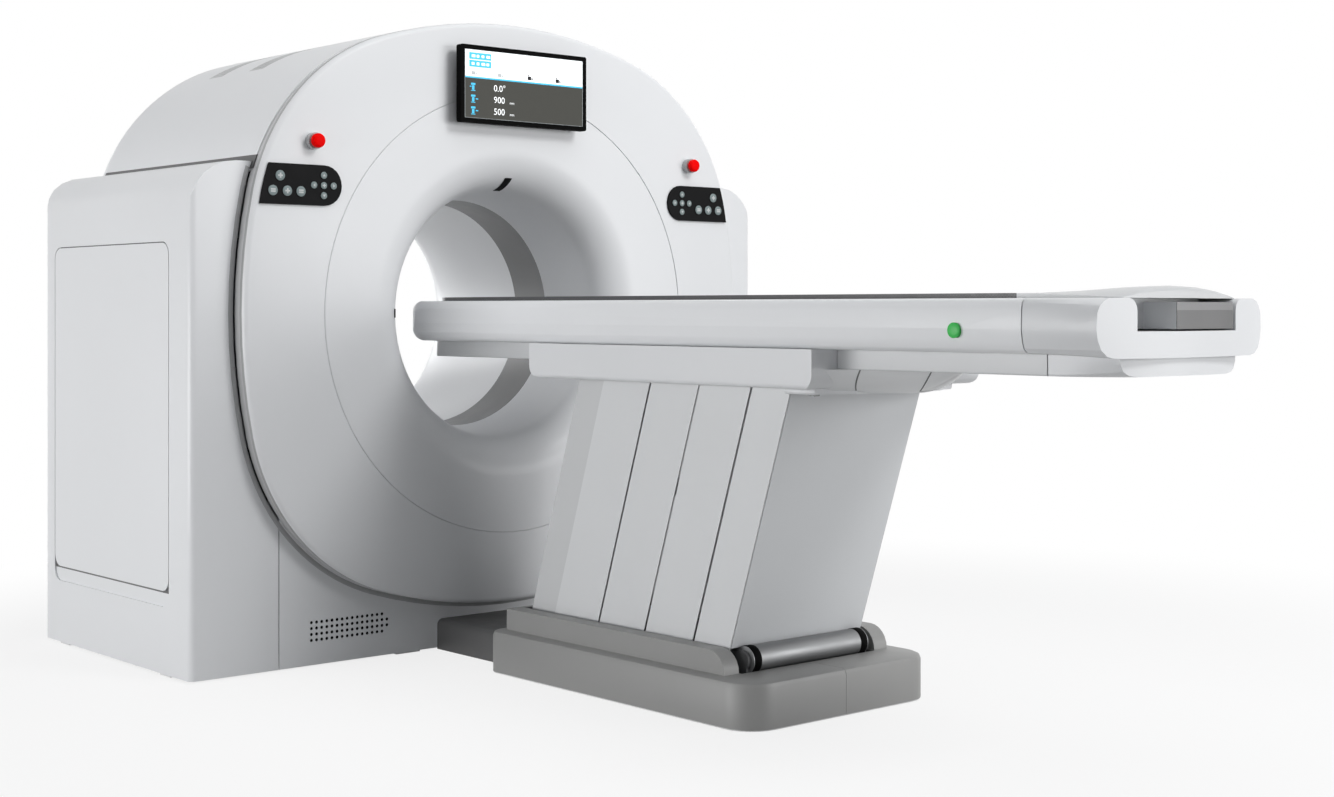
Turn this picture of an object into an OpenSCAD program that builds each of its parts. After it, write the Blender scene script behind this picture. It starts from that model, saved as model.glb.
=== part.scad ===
// CT scanner: a ring gantry with a swing-lift patient table in front of it.
// Millimetres. Z is up and Y runs along the bore, from the table into the gantry.
// The origin is on the floor under the isocentre, in the scan plane.

/* [Gantry] */
// Height of the isocentre above the floor
iso_height = 985; // [975:1:995]
// Clear diameter at the scan window
bore_diameter = 700; // [690:1:712]
// Front face to scan plane
front_depth = 386; // [380:1:396]
// Scan plane to rear face
rear_depth = 650; // [630:1:680]
// Width of the round drum
drum_width = 1806; // [1796:2:1816]
// Underside of the round drum above the floor
drum_clearance = 123; // [116:1:130]
// Radius of the four rounder corners of the drum outline
drum_corner_radius = 606; // [600:1:612]
// How far the side covers stand out past the drum
side_overhang = 127; // [121:1:137]
// Top of the side covers above the isocentre
side_rise = 415; // [407:1:421]
// Rounded outer top corner of the side covers
side_corner_radius = 135; // [115:1:140]
// Front face to the front of the side covers
side_setback = 59; // [52:1:64]
// How far inside the drum width the base covers end
base_inset = 138; // [131:1:148]
// Wall of the moulded covers
cover_wall = 5; // [4:0.5:6]

/* [Front face] */
// Rounded front edge of the drum
edge_radius = 15; // [11:1:18]
// Depth of the white front rim
rim_depth = 24; // [21:1:27]
// Depth of the grey band behind the rim
trim_depth = 22; // [18:1:24]
// How far the grey band sits inside the rim
trim_inset = 4; // [3:0.5:6]
// Radius of the seam between front cover and funnel
seam_radius = 656; // [645:1:662]
// Radius of the rounded lip of the bore
lip_radius = 121; // [112:1:126]
// How much wider than the bore the lip starts
lip_spread = 140; // [132:1:146]
// Rounded rear edge of the drum
rear_edge_radius = 45; // [36:1:48]
// Width of the dark scan window along the bore
window_width = 160; // [140:2:180]
// Width of the display
display_width = 464; // [440:2:480]
// Height of the display
display_height = 226; // [210:2:236]
// Lower edge of the display above the isocentre
display_rise = 555; // [545:1:567]
// Distance of the display glass from the front face
display_standoff = 51; // [46:1:56]
// Height of the control panels
panel_height = 112; // [104:2:116]
// Middle of the control panels below the crown of the drum
panel_drop = 509; // [503:1:517]
// Length of the control panels to the side of the drum
panel_reach = 299; // [291:1:307]
// Stop buttons from the side of the drum
stop_inset = 210; // [203:1:217]
// Stop buttons below the crown of the drum
stop_drop = 388; // [381:1:397]
// Diameter of the red stop caps
stop_cap_diameter = 40; // [36:1:42]
// Press travel of the stop buttons
stop_travel = 6; // [4:0.5:7]

/* [Rotor] */
// Outer radius of the rotor
rotor_radius = 740; // [730:1:748]
// Inner radius of the rotor
rotor_bore_radius = 400; // [396:1:404]
// Front of the rotor plate behind the scan plane
rotor_plate_y = 100; // [96:1:106]
// Thickness of the rotor plate
rotor_plate_depth = 40; // [36:1:44]
// Focal spot to isocentre
source_radius = 590; // [580:1:600]
// Focal spot to detector face
source_to_detector = 1040; // [1030:1:1050]
// Radius of the motor pulley
pulley_radius = 55; // [50:1:60]
// Sideways place of the drive motor
motor_x = 600; // [590:1:610]
// Drive motor below the isocentre
motor_drop = 675; // [667:1:685]
// Running clearance of the rotor bearing
bearing_clearance = 0.3; // [0.3:0.05:0.6]

/* [Table base] */
// Width of the table plinth
plinth_width = 658; // [650:2:668]
// End of the plinth nearest the gantry
plinth_near = 700; // [694:1:706]
// Outer end of the plinth
plinth_far = 1743; // [1736:1:1760]
// Height of the plinth
plinth_height = 115; // [112:1:118]
// Corner radius at the outer end of the plinth
plinth_corner = 85; // [70:1:95]
// Top of the guard round the column foot
guard_top = 172; // [168:1:176]
// Width over the guard
guard_width = 578; // [570:2:588]
// Width of the cable duct on the floor
duct_width = 480; // [460:2:500]
// Height of the cable duct
duct_height = 88; // [80:1:94]

/* [Lift] */
// Distance of the foot hinge from the scan plane
lift_pivot = 1595; // [1590:1:1600]
// Height of the foot hinge
foot_z = 140; // [138:1:142]
// Upper hinges below the rail
head_drop = 23; // [22:1:25]
// Lean of the raised column
lean = 18.2; // [17:0.1:19]
// Radius of the round hinge barrel
barrel_radius = 34; // [31:0.5:35]
// Distance from foot hinge to the rear arm hinge
arm_spacing = 690; // [670:1:700]
// Width of the slat next to the end panel, measured along the floor
front_slat = 137; // [132:1:142]
// Width of the three middle slats
middle_slat = 191; // [186:1:194]
// Width of the rear slat
rear_slat = 107; // [100:1:110]
// Dark gap between slats
slat_gap = 11; // [8:0.5:13]
// Thickness of a slat
slat_thickness = 3; // [2.5:0.1:3.2]
// Outer face of the outermost slats from the middle
slat_outer_x = 233; // [232:0.5:234]

/* [Table top] */
// Width of the table top
top_width = 598; // [590:2:606]
// Top of the raised table top above the isocentre
table_rise = 35; // [32:1:38]
// Thickness of the table top frame
top_height = 115; // [113:1:117]
// Nose of the table top from the scan plane
top_nose = 245; // [240:1:262]
// Seam between table top and tail cover
tail_seam = 2512; // [2500:1:2520]
// Outer end of the tail cover
tail_end = 2717; // [2708:1:2728]
// Depth of the rail below the table top
rail_height = 47; // [45:0.5:48]
// Width of the rail below the table top
rail_width = 424; // [420:1:424]
// Width of the sliding cradle board
cradle_width = 430; // [420:2:434]
// Thickness of the cradle board
cradle_thickness = 11; // [9:0.5:12]
// Sliding clearance under the cradle
slide_clearance = 0.3; // [0.2:0.05:0.4]
// Distance of the green button from the scan plane
button_y = 2339; // [2330:1:2348]
// Diameter of the green button
button_diameter = 32; // [30:0.5:34]

/* [Hidden] */
$fn = 96;
bore_radius = bore_diameter / 2;
drum_height = 2 * (iso_height - drum_clearance);
gantry_width = drum_width + 2 * side_overhang;
side_height = iso_height + side_rise;
base_half_width = drum_width / 2 - base_inset;
display_bottom = iso_height + display_rise;
panel_z = iso_height + drum_height / 2 - panel_drop;
panel_inner_x = drum_width / 2 - panel_reach;
stop_x = drum_width / 2 - stop_inset;
stop_z = iso_height + drum_height / 2 - stop_drop;
motor_z = iso_height - motor_drop;
top_z = iso_height + table_rise;
top_bottom_z = top_z - top_height;
rail_bottom_z = top_bottom_z - rail_height;
head_z = rail_bottom_z - head_drop;
face_y = -front_depth;
rim_back = face_y + rim_depth;
drum_front = rim_back + trim_depth;
side_front = face_y + side_setback;
side_back = rear_depth - 10;
drum_back = rear_depth - rear_edge_radius - 5;
seam_gap = 1.5;
floor_gap = 4;
contact_gap = 0.3;
arch_seat = side_height - 20;
lip_start = bore_radius + lip_spread;
window_half = window_width / 2;
funnel_outer = seam_radius - seam_gap;
side_half = gantry_width / 2;

// Drum outline made of tangent arcs, one point for each direction of the normal
side_arc_end = 12;
top_arc_start = 72;
outline_step = 3;
half_w = drum_width / 2 - drum_corner_radius;
half_h = drum_height / 2 - drum_corner_radius;
arc_det = (1 - cos(side_arc_end)) * (1 - sin(top_arc_start))
    - cos(top_arc_start) * sin(side_arc_end);
side_extra = (half_w * (1 - sin(top_arc_start)) - half_h * cos(top_arc_start)) / arc_det;
top_extra = ((1 - cos(side_arc_end)) * half_h - sin(side_arc_end) * half_w) / arc_det;

function folded(t) =
    let (h = t > 180 ? 360 - t : t)
    h > 90 ? 180 - h : h;
function arc_center(q) =
    q < side_arc_end ? [half_w - side_extra, 0]
    : q <= top_arc_start
        ? [half_w - side_extra + side_extra * cos(side_arc_end), side_extra * sin(side_arc_end)]
    : [0, half_h - top_extra];
function arc_radius(q) =
    q < side_arc_end ? drum_corner_radius + side_extra
    : q <= top_arc_start ? drum_corner_radius
    : drum_corner_radius + top_extra;
function outline_point(t, inset) =
    let (q = folded(t), c = arc_center(q), r = arc_radius(q) - inset)
    [(t > 90 && t < 270 ? -1 : 1) * (c.x + r * cos(q)), (t > 180 ? -1 : 1) * (c.y + r * sin(q))];
function drum_outline(inset) =
    [for (t = [0:outline_step:360 - outline_step]) outline_point(t, inset)];
function ring_points(radius) =
    [for (t = [0:outline_step:360 - outline_step]) [radius * cos(t), radius * sin(t)]];

// Rectangle with its own radius at each corner, counter-clockwise from the low corner
corner_steps = 6;
function corner_arc(c, r, start) =
    [for (i = [0:corner_steps])
        let (a = start + 90 * i / corner_steps) c + r * [cos(a), sin(a)]];
function round_rect(lo, hi, r) = concat(
    corner_arc([lo.x + r[0], lo.y + r[0]], r[0], 180),
    corner_arc([hi.x - r[1], lo.y + r[1]], r[1], 270),
    corner_arc([hi.x - r[2], hi.y - r[2]], r[2], 0),
    corner_arc([lo.x + r[3], hi.y - r[3]], r[3], 90));
function same(r) = [r, r, r, r];

// Closed shell from rings of equal length; the last ring joins the first
module ring_shell(rings) {
    n = len(rings[0]);
    m = len(rings);
    polyhedron(
        points = [for (ring = rings) for (p = ring) p],
        faces = [for (i = [0:m - 1]) for (j = [0:n - 1])
            let (i2 = (i + 1) % m, j2 = (j + 1) % n)
            [i * n + j, i * n + j2, i2 * n + j2, i2 * n + j]]);
}

// Closed body through rings of equal length, each counter-clockwise seen from the last one
module loft(rings) {
    n = len(rings[0]);
    m = len(rings);
    polyhedron(
        points = [for (ring = rings) for (p = ring) p],
        faces = concat(
            [[for (j = [0:n - 1]) j]],
            [for (i = [0:m - 2]) for (j = [0:n - 1]) let (j2 = (j + 1) % n)
                [i * n + j, (i + 1) * n + j, (i + 1) * n + j2, i * n + j2]],
            [[for (j = [n - 1:-1:0]) (m - 1) * n + j]]));
}

// Upright sheet drawn across and up, from y0 to y1
module upright(y0, y1) {
    translate([0, y1, 0]) rotate([90, 0, 0]) linear_extrude(y1 - y0) children();
}
// Profile of radius and depth turned about the bore axis
module about_bore() {
    translate([0, 0, iso_height]) rotate([-90, 0, 0]) children();
}
// Sheet drawn along and up, from x0 to x1
module lengthwise(x0, x1) {
    translate([x0, 0, 0]) rotate([90, 0, 90]) linear_extrude(x1 - x0) children();
}
module both_sides() {
    children();
    mirror([1, 0, 0]) children();
}
module drum_area(inset) {
    translate([0, iso_height]) polygon(drum_outline(inset));
}

// Covers of the gantry
function arc_section(y, direction, r) =
    [for (a = [0:22.5:90]) [r * (1 - sin(a)), y + direction * r * (1 - cos(a))]];
function cover_rings(y, direction, r, back) = concat(
    [for (s = arc_section(y, direction, r)) [for (p = drum_outline(s[0])) [p.x, s[1], iso_height + p.y]]],
    [[for (p = drum_outline(0)) [p.x, back, iso_height + p.y]]],
    [[for (p = drum_outline(cover_wall)) [p.x, back, iso_height + p.y]]],
    [[for (p = drum_outline(r)) [p.x, y + direction * cover_wall, iso_height + p.y]]],
    [[for (p = ring_points(seam_radius)) [p.x, y + direction * cover_wall, iso_height + p.y]]],
    [[for (p = ring_points(seam_radius)) [p.x, y, iso_height + p.y]]]);

module front_cover() {
    color("white") ring_shell(cover_rings(face_y, 1, edge_radius, rim_back));
}
module rear_cover() {
    rings = cover_rings(rear_depth, -1, rear_edge_radius, drum_back);
    color("white") ring_shell([for (i = [len(rings) - 1:-1:0]) rings[i]]);
}

// Bell-mouthed wall from the seam to the scan window, flange behind the seam
module funnel_profile(depth) {
    c = [lip_start, lip_radius - depth];
    p = [bore_radius, -window_half];
    t = atan2(p.y - c.y, p.x - c.x) + acos(lip_radius / norm(p - c));
    start = t < 0 ? t + 360 : t;
    chamfer = 2;
    steps = 12;
    function lip(r) = [for (i = [0:steps])
        let (a = start + (270 - start) * i / steps) c + r * [cos(a), sin(a)]];
    inner = lip(lip_radius - cover_wall);
    polygon(concat(
        [p], lip(lip_radius),
        [[funnel_outer - chamfer, -depth], [funnel_outer, chamfer - depth],
        [funnel_outer, cover_wall - depth], [funnel_outer + 14, cover_wall - depth],
        [funnel_outer + 14, cover_wall + 4 - depth], [funnel_outer - 14, cover_wall + 4 - depth],
        [funnel_outer - 14, cover_wall - depth]],
        [for (i = [steps:-1:0]) inner[i]],
        [[bore_radius + cover_wall, -window_half]]));
}
module front_funnel() {
    color("white") about_bore() rotate_extrude() funnel_profile(front_depth);
}
module rear_funnel() {
    color("white") about_bore() rotate_extrude() mirror([0, 1]) funnel_profile(rear_depth);
}
module bore_window() {
    color("dimgray") about_bore() rotate_extrude()
        translate([bore_radius, -window_half]) square([4, window_width]);
}
// Dark slots for the positioning lasers, on the lip at top, left and right
module laser_windows() {
    slot_angle = 3.6;
    c = [lip_start, lip_radius - front_depth];
    inner = lip_radius + contact_gap;
    color("black") about_bore() for (a = [0, 180, 270]) rotate([0, 0, a - slot_angle / 2])
        rotate_extrude(angle = slot_angle) intersection() {
            translate(c) difference() {
                circle(inner + 1.2);
                circle(inner);
            }
            polygon([c, c + 300 * [cos(192), sin(192)], c + 300 * [cos(226), sin(226)]]);
        }
}
module front_trim_band() {
    band = 24;
    color("silver") {
        upright(rim_back, drum_front) difference() {
            drum_area(trim_inset);
            drum_area(trim_inset + band);
        }
        upright(drum_front - 1, side_front - contact_gap) difference() {
            drum_area(trim_inset);
            drum_area(trim_inset + band);
            translate([-side_half, arch_seat - contact_gap]) square([2 * side_half, drum_height]);
        }
    }
}

// Two vent openings each side on the crown of the drum
grille_x = drum_width / 2 - 403;
grille_length = 200;
grille_width = 84;
grille_places = [98, 348];
module grille_prism(spare) {
    for (y = grille_places, s = [-1, 1])
        translate([s * grille_x, y, iso_height + drum_height / 4]) linear_extrude(drum_height)
            square([grille_length + 2 * spare, grille_width + 2 * spare], center = true);
}
module drum_sheet(y0, y1, floor_z) {
    upright(y0, y1) difference() {
        drum_area(0);
        drum_area(cover_wall);
        translate([-side_half, 0]) square([2 * side_half, floor_z]);
    }
}
module top_cover() {
    color("white") difference() {
        drum_sheet(drum_front, drum_back, arch_seat);
        grille_prism(contact_gap);
    }
}
module top_grilles() {
    pitch = 17;
    color("silver") difference() {
        intersection() {
            drum_sheet(drum_front, drum_back, arch_seat);
            grille_prism(0);
        }
        for (y = grille_places, s = [-1, 1], i = [-5:5], j = [-2:2])
            translate([s * grille_x + pitch * i, y + pitch * j, iso_height + drum_height / 4])
                cylinder(h = drum_height, d = 8, $fn = 16);
    }
}

// Side cover block, shrunk by an inset on its outer faces
module side_block(inset) {
    intersection() {
        upright(side_front - 10, side_back + 10)
            polygon(round_rect([0, floor_gap - 2 * inset], [side_half - inset, side_height - inset],
                [0, 0, side_corner_radius - inset, 0]));
        translate([0, 0, -100]) linear_extrude(side_height + 200)
            polygon(round_rect([0, side_front + inset], [side_half - inset, side_back - inset],
                [0, 20 - inset, 60 - inset, 0]));
    }
}
service_lo = [side_front + 125, 230];
service_hi = [side_back - 105, side_height - 222];
service_gap = 3;
service_corner = 35;
finger_recess = 44;
module service_area(spare, low) {
    polygon(round_rect(
        [service_lo.x - spare, service_lo.y - low], [service_hi.x + spare, service_hi.y + spare],
        same(service_corner + spare)));
}
module side_cover() {
    color("white") {
        difference() {
            side_block(0);
            side_block(cover_wall);
            upright(side_front - 20, side_back + 20) drum_area(-seam_gap);
            translate([-1, side_front - 20, -1])
                cube([base_half_width + 1, side_back - side_front + 40, side_height]);
            lengthwise(side_half - 2 * cover_wall, side_half + 10)
                service_area(service_gap, finger_recess);
        }
        lengthwise(side_half - cover_wall - 6, side_half - cover_wall) difference() {
            service_area(25, finger_recess + 25);
            service_area(-22, -22);
        }
        translate([drum_width / 2 - 75, side_front + 1, arch_seat - 6])
            cube([62, drum_back - side_front - 2, 6]);
        translate([drum_width / 2 - 18, side_front + 1, arch_seat - 6])
            cube([5, drum_back - side_front - 2, side_height - arch_seat + 2]);
    }
}
module left_side_cover() {
    mirror([1, 0, 0]) side_cover();
}
module right_side_cover() {
    side_cover();
}
module service_panels() {
    color("white") both_sides() lengthwise(side_half - cover_wall, side_half) service_area(0, 0);
}

// Flat covers between the side covers, front and rear
module base_sheet() {
    difference() {
        translate([-base_half_width + 3, floor_gap]) square([2 * base_half_width - 6, iso_height / 2]);
        drum_area(10);
    }
}
vent_pitch = 16.5;
vent_x = 219 - base_half_width;
vent_z = 98;
module front_base_cover() {
    color("white") difference() {
        upright(side_front, side_front + cover_wall) base_sheet();
        for (row = [0:3], i = [0:(row == 0 || row == 3) ? 14 : 15])
            translate([vent_x + vent_pitch * (i - ((row == 0 || row == 3) ? 7 : 7)),
                    side_front - 1, vent_z + vent_pitch * (row - 1.5)])
                rotate([-90, 0, 0]) cylinder(h = cover_wall + 2, d = 9, $fn = 16);
    }
}
module rear_base_cover() {
    color("white") upright(side_back - cover_wall, side_back) base_sheet();
}

// Display, control panels and stop buttons on the front face
display_y = face_y - display_standoff;
display_depth = 24;
bezel = 13;
module display_housing() {
    color("black") {
        difference() {
            upright(display_y, display_y + display_depth) polygon(round_rect(
                [-display_width / 2, display_bottom],
                [display_width / 2, display_bottom + display_height], same(6)));
            upright(display_y - 1, display_y + 3) polygon(round_rect(
                [bezel - display_width / 2, display_bottom + bezel],
                [display_width / 2 - bezel, display_bottom + display_height - bezel], same(2)));
        }
        translate([-110, display_y + display_depth, iso_height + seam_radius + 18])
            cube([220, display_standoff - display_depth, 80]);
    }
}
module display_screen() {
    color("lightgray") upright(display_y + 0.8, display_y + 3) polygon(round_rect(
        [bezel - display_width / 2 + contact_gap, display_bottom + bezel + contact_gap],
        [display_width / 2 - bezel - contact_gap, display_bottom + display_height - bezel - contact_gap],
        same(1.7)));
}
panel_depth = 7;
key_height = 1.5;
module control_panel() {
    r = panel_height / 2;
    color("black") {
        upright(face_y - panel_depth, face_y) intersection() {
            polygon(round_rect([panel_inner_x, panel_z - r], [side_half, panel_z + r],
                [r - 1, 0, 0, r - 1]));
            drum_area(edge_radius + 2);
        }
        for (k = [[216, -19], [172, -19], [130, -19], [194, 22]])
            translate([panel_inner_x + k.x, face_y - panel_depth, panel_z + k.y]) rotate([90, 0, 0])
                cylinder(h = key_height, d = 30);
        for (k = [[0, 0], [31, 0], [-31, 0], [0, 28], [0, -28]])
            translate([panel_inner_x + 58 + k.x, face_y - panel_depth, panel_z + k.y]) rotate([90, 0, 0])
                cylinder(h = key_height, d = 21);
    }
}
module left_control_panel() {
    mirror([1, 0, 0]) control_panel();
}
module right_control_panel() {
    control_panel();
}
stop_stem = stop_cap_diameter / 2 - 5;
collar_depth = 20;
module estop_collars() {
    color("gainsboro") both_sides() translate([stop_x, face_y, stop_z]) rotate([90, 0, 0]) difference() {
        cylinder(h = collar_depth, d = stop_cap_diameter + 6);
        translate([0, 0, 4]) cylinder(h = collar_depth, r = stop_stem + contact_gap);
    }
}
module estop_button() {
    translate([stop_x, face_y, stop_z]) rotate([90, 0, 0]) {
        translate([0, 0, 4.5 + stop_travel]) cylinder(h = collar_depth - 3, r = stop_stem);
        translate([0, 0, collar_depth + stop_travel + 0.5]) rotate_extrude() polygon([
            [0, 0], [stop_cap_diameter / 2, 0], [stop_cap_diameter / 2, 8],
            [stop_cap_diameter / 2 - 2, 12], [stop_cap_diameter / 2 - 7, 14.5], [0, 16]]);
    }
}
module left_estop() {
    color("red") mirror([1, 0, 0]) estop_button();
}
module right_estop() {
    color("red") estop_button();
}

// Steel structure and rotating parts inside the gantry
rail_in = 520;
rail_out = 640;
beam_height = 60;
anchor_x = 580;
anchor_y = 190;
module gantry_base() {
    color("dimgray") difference() {
        union() {
            both_sides() translate([rail_in, -230, 0]) cube([rail_out - rail_in, 790, beam_height]);
            for (y = [-230, 480]) translate([-rail_out, y, 0]) cube([2 * rail_out, 80, beam_height]);
            for (y = [-210, 440]) translate([-side_half + 2, y, 0]) cube([gantry_width - 4, 60, floor_gap]);
            both_sides() translate([300, side_front + 1, 0])
                cube([80, side_back - side_front - 2, floor_gap]);
        }
        for (x = [-1, 1], y = [-1, 1]) translate([x * anchor_x, y * anchor_y, -1])
            cylinder(h = beam_height + 2, r = 11);
    }
}
bearing_y = rotor_plate_y + rotor_plate_depth;
sleeve_radius = rotor_bore_radius + 20;
race_radius = rotor_bore_radius + 58;
stator_y = bearing_y + 65;
stator_depth = 50;
stator_outer = 640;
module stator_frame() {
    color("dimgray") difference() {
        union() {
            about_bore() translate([0, 0, stator_y]) cylinder(h = stator_depth, r = stator_outer);
            both_sides() translate([500, stator_y, beam_height])
                cube([140, stator_depth, iso_height - beam_height]);
        }
        about_bore() translate([0, 0, stator_y - 1]) cylinder(h = stator_depth + 2, r = race_radius + 8);
    }
}
module bearing_outer_ring() {
    color("silver") about_bore() rotate_extrude()
        translate([race_radius + bearing_clearance, bearing_y + 5]) square([52, stator_y - bearing_y - 5]);
}
module bearing_inner_ring() {
    color("silver") about_bore() rotate_extrude()
        translate([sleeve_radius, bearing_y]) square([race_radius - sleeve_radius, stator_y - bearing_y - 5]);
}
slip_y = stator_y + stator_depth + 45;
slip_outer = 600;
module rotor_drum() {
    color("gray") about_bore() difference() {
        rotate_extrude() polygon([
            [rotor_bore_radius, rotor_plate_y], [rotor_radius, rotor_plate_y],
            [rotor_radius, bearing_y], [sleeve_radius, bearing_y],
            [sleeve_radius, slip_y + 25], [rotor_bore_radius, slip_y + 25]]);
        for (a = [20:40:340]) rotate([0, 0, a]) translate([rotor_radius - 110, 0, rotor_plate_y - 1])
            cylinder(h = rotor_plate_depth + 2, r = 45);
    }
}
module slip_ring() {
    color("goldenrod") about_bore() rotate_extrude() difference() {
        translate([sleeve_radius, slip_y]) square([slip_outer - sleeve_radius, 25]);
        for (i = [0:5]) translate([sleeve_radius + 40 + 22 * i, slip_y + 21]) square([10, 5]);
    }
}
module brush_block() {
    color("darkslategray") translate([0, 0, iso_height]) {
        translate([-60, slip_y + 25 + contact_gap, 440]) cube([120, 60, 175]);
        translate([-60, stator_y + stator_depth, slip_outer + 5])
            cube([120, slip_y - stator_y - stator_depth + 85 + contact_gap, 25]);
    }
}
module xray_tube() {
    color("lightgray") translate([0, 0, iso_height + source_radius]) rotate([-90, 0, 0]) {
        translate([0, 0, -130]) cylinder(h = rotor_plate_y + 130, r = 92);
        translate([0, 0, -165]) cylinder(h = 40, r = 38);
    }
}
module collimator() {
    color("gray") translate([-110, -60, iso_height + 420])
        cube([220, rotor_plate_y + 60, source_radius - 92 - 420]);
}
module detector() {
    fan = 50;
    color("darkgray") translate([0, 0, iso_height + source_radius]) rotate([-90, 90 - fan / 2, 0])
        rotate_extrude(angle = fan) translate([source_to_detector, -70]) square([78, rotor_plate_y + 70]);
}
tank_width = 190;
tank_height = 380;
tank_front = 120;
module hv_tank() {
    color("slategray") translate([-rotor_radius + 50, -tank_front, iso_height - tank_height / 2 + 30])
        cube([tank_width, rotor_plate_y + tank_front, tank_height]);
}
cooler_width = 190;
cooler_height = 360;
cooler_front = 110;
cooler_fan_radius = 75;
module tube_cooler() {
    x = rotor_radius - 60 - cooler_width;
    color("silver") translate([x, -cooler_front, iso_height - cooler_height / 3]) difference() {
            cube([cooler_width, rotor_plate_y + cooler_front, cooler_height]);
            for (z = [1, 3]) translate([cooler_width / 2, -1, cooler_height * z / 4]) rotate([-90, 0, 0])
                cylinder(h = 30, r = cooler_fan_radius);
        }
}
module drive_motor() {
    color("dimgray") {
        translate([motor_x, -150, motor_z]) rotate([-90, 0, 0]) cylinder(h = rotor_plate_y + 148, r = 85);
        translate([motor_x - 40, -120, beam_height]) cube([80, 180, motor_z - beam_height - 60]);
        translate([motor_x, rotor_plate_y - 4, motor_z]) rotate([-90, 0, 0])
            cylinder(h = rotor_plate_depth, r = 14);
    }
}
module motor_pulley() {
    color("silver") translate([motor_x, rotor_plate_y + 1, motor_z]) rotate([-90, 0, 0]) difference() {
        cylinder(h = rotor_plate_depth - 2, r = pulley_radius);
        translate([0, 0, -1]) cylinder(h = rotor_plate_depth, r = 14 + contact_gap);
    }
}
// Belt path round the rotor rim and the motor pulley
function belt_path(spare) =
    let (d = [motor_x, motor_z - iso_height], dist = norm(d), dir = atan2(d.y, d.x),
        tilt = acos((rotor_radius - pulley_radius) / dist), k = 1 / cos(1.5))
    concat(
        [for (i = [0:100]) let (a = dir + tilt + (360 - 2 * tilt) * i / 100)
            (rotor_radius * k + spare) * [cos(a), sin(a)]],
        [for (i = [0:20]) let (a = dir - tilt + 2 * tilt * i / 20)
            d + (pulley_radius * k + spare) * [cos(a), sin(a)]]);
module drive_belt() {
    color("black") upright(rotor_plate_y + 6, rotor_plate_y + rotor_plate_depth - 6)
        translate([0, iso_height]) difference() {
            polygon(belt_path(6));
            polygon(belt_path(contact_gap));
        }
}

// Table base on the floor
module link_duct() {
    color("dimgray") translate([0, -plinth_near, 0]) rotate([90, 0, 180])
        linear_extrude(plinth_near + side_front) polygon(round_rect(
            [-duct_width / 2, 0], [duct_width / 2, duct_height], [0, 0, 18, 18]));
}
plinth_wall = 4;
cavity_x = 238;
cavity_far = lift_pivot + barrel_radius - 7;
cavity_near = plinth_near + 33;
function plinth_rect(inset) = round_rect(
    [inset - plinth_width / 2, inset - plinth_far], [plinth_width / 2 - inset, -plinth_near - inset],
    [plinth_corner - inset, plinth_corner - inset, 40 - inset, 40 - inset]);
function at_height(ring, z) = [for (p = ring) [p.x, p.y, z]];
module plinth_covers() {
    foot = 3;
    cavity = round_rect([-cavity_x, -cavity_far], [cavity_x, -cavity_near], same(4));
    under = plinth_height - plinth_wall;
    color("darkgray") difference() {
        ring_shell([
            at_height(plinth_rect(0), foot), at_height(plinth_rect(0), plinth_height - 14),
            at_height(plinth_rect(4), plinth_height - 4), at_height(plinth_rect(14), plinth_height),
            at_height(cavity, plinth_height), at_height(cavity, under),
            at_height(plinth_rect(14), under), at_height(plinth_rect(plinth_wall), plinth_height - 14),
            at_height(plinth_rect(plinth_wall), foot)]);
        translate([-0.5, -plinth_far - 10, -1]) cube([1, plinth_far - plinth_near + 20, plinth_height + 2]);
    }
}
guard_in = cavity_x + 3;
guard_near = plinth_near + 36;
guard_bar = 16;
module guard_side(inset) {
    r = guard_top - plinth_height;
    c = [-lift_pivot + 37, plinth_height];
    polygon(concat(
        [[-guard_near - inset, plinth_height - 2 * inset]],
        [[-guard_near - inset, guard_top - inset]],
        [for (a = [90:15:180]) c + (r - inset) * [cos(a), sin(a)]],
        [[c.x - r + inset, plinth_height - 2 * inset]]));
}
module guard_block(inset) {
    both_sides() lengthwise(guard_in + inset, guard_width / 2 - inset) guard_side(inset);
    translate([inset - guard_width / 2, inset - guard_near - guard_bar, plinth_height - 2 * inset])
        cube([guard_width - 2 * inset, guard_bar - 2 * inset, guard_top - plinth_height + inset]);
}
module base_guard() {
    color("gray") difference() {
        guard_block(0);
        guard_block(plinth_wall);
    }
}

// Swing lift: two arms and five slats each side, all parallel
lift_height = head_z - foot_z;
lean_shift = lift_height * tan(lean);
arm_length = lift_height / cos(lean);
shaft_radius = 12;
layer_step = slat_thickness + 0.8;
end_face = -lift_pivot + 29;
slat_edges = [
    end_face, end_face + front_slat, end_face + front_slat + middle_slat,
    end_face + front_slat + 2 * middle_slat, end_face + front_slat + 3 * middle_slat,
    end_face + front_slat + 3 * middle_slat + rear_slat];
function slat_lo(k) = slat_edges[k] + (k == 0 ? 2 : k == 4 ? -8 : slat_gap / 2);
function slat_hi(k) = slat_edges[k + 1] - (k >= 3 ? 0 : slat_gap / 2);
function slat_mid(k) = (slat_lo(k) + slat_hi(k)) / 2;
function slat_face(k) = slat_outer_x - layer_step * k;
function leaned(y, z) = [y - (z - foot_z) * tan(lean), z];
slat_cut_z = head_z - 15;
slat_foot_z = foot_z - 22;
pin_radius = 6;
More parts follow.
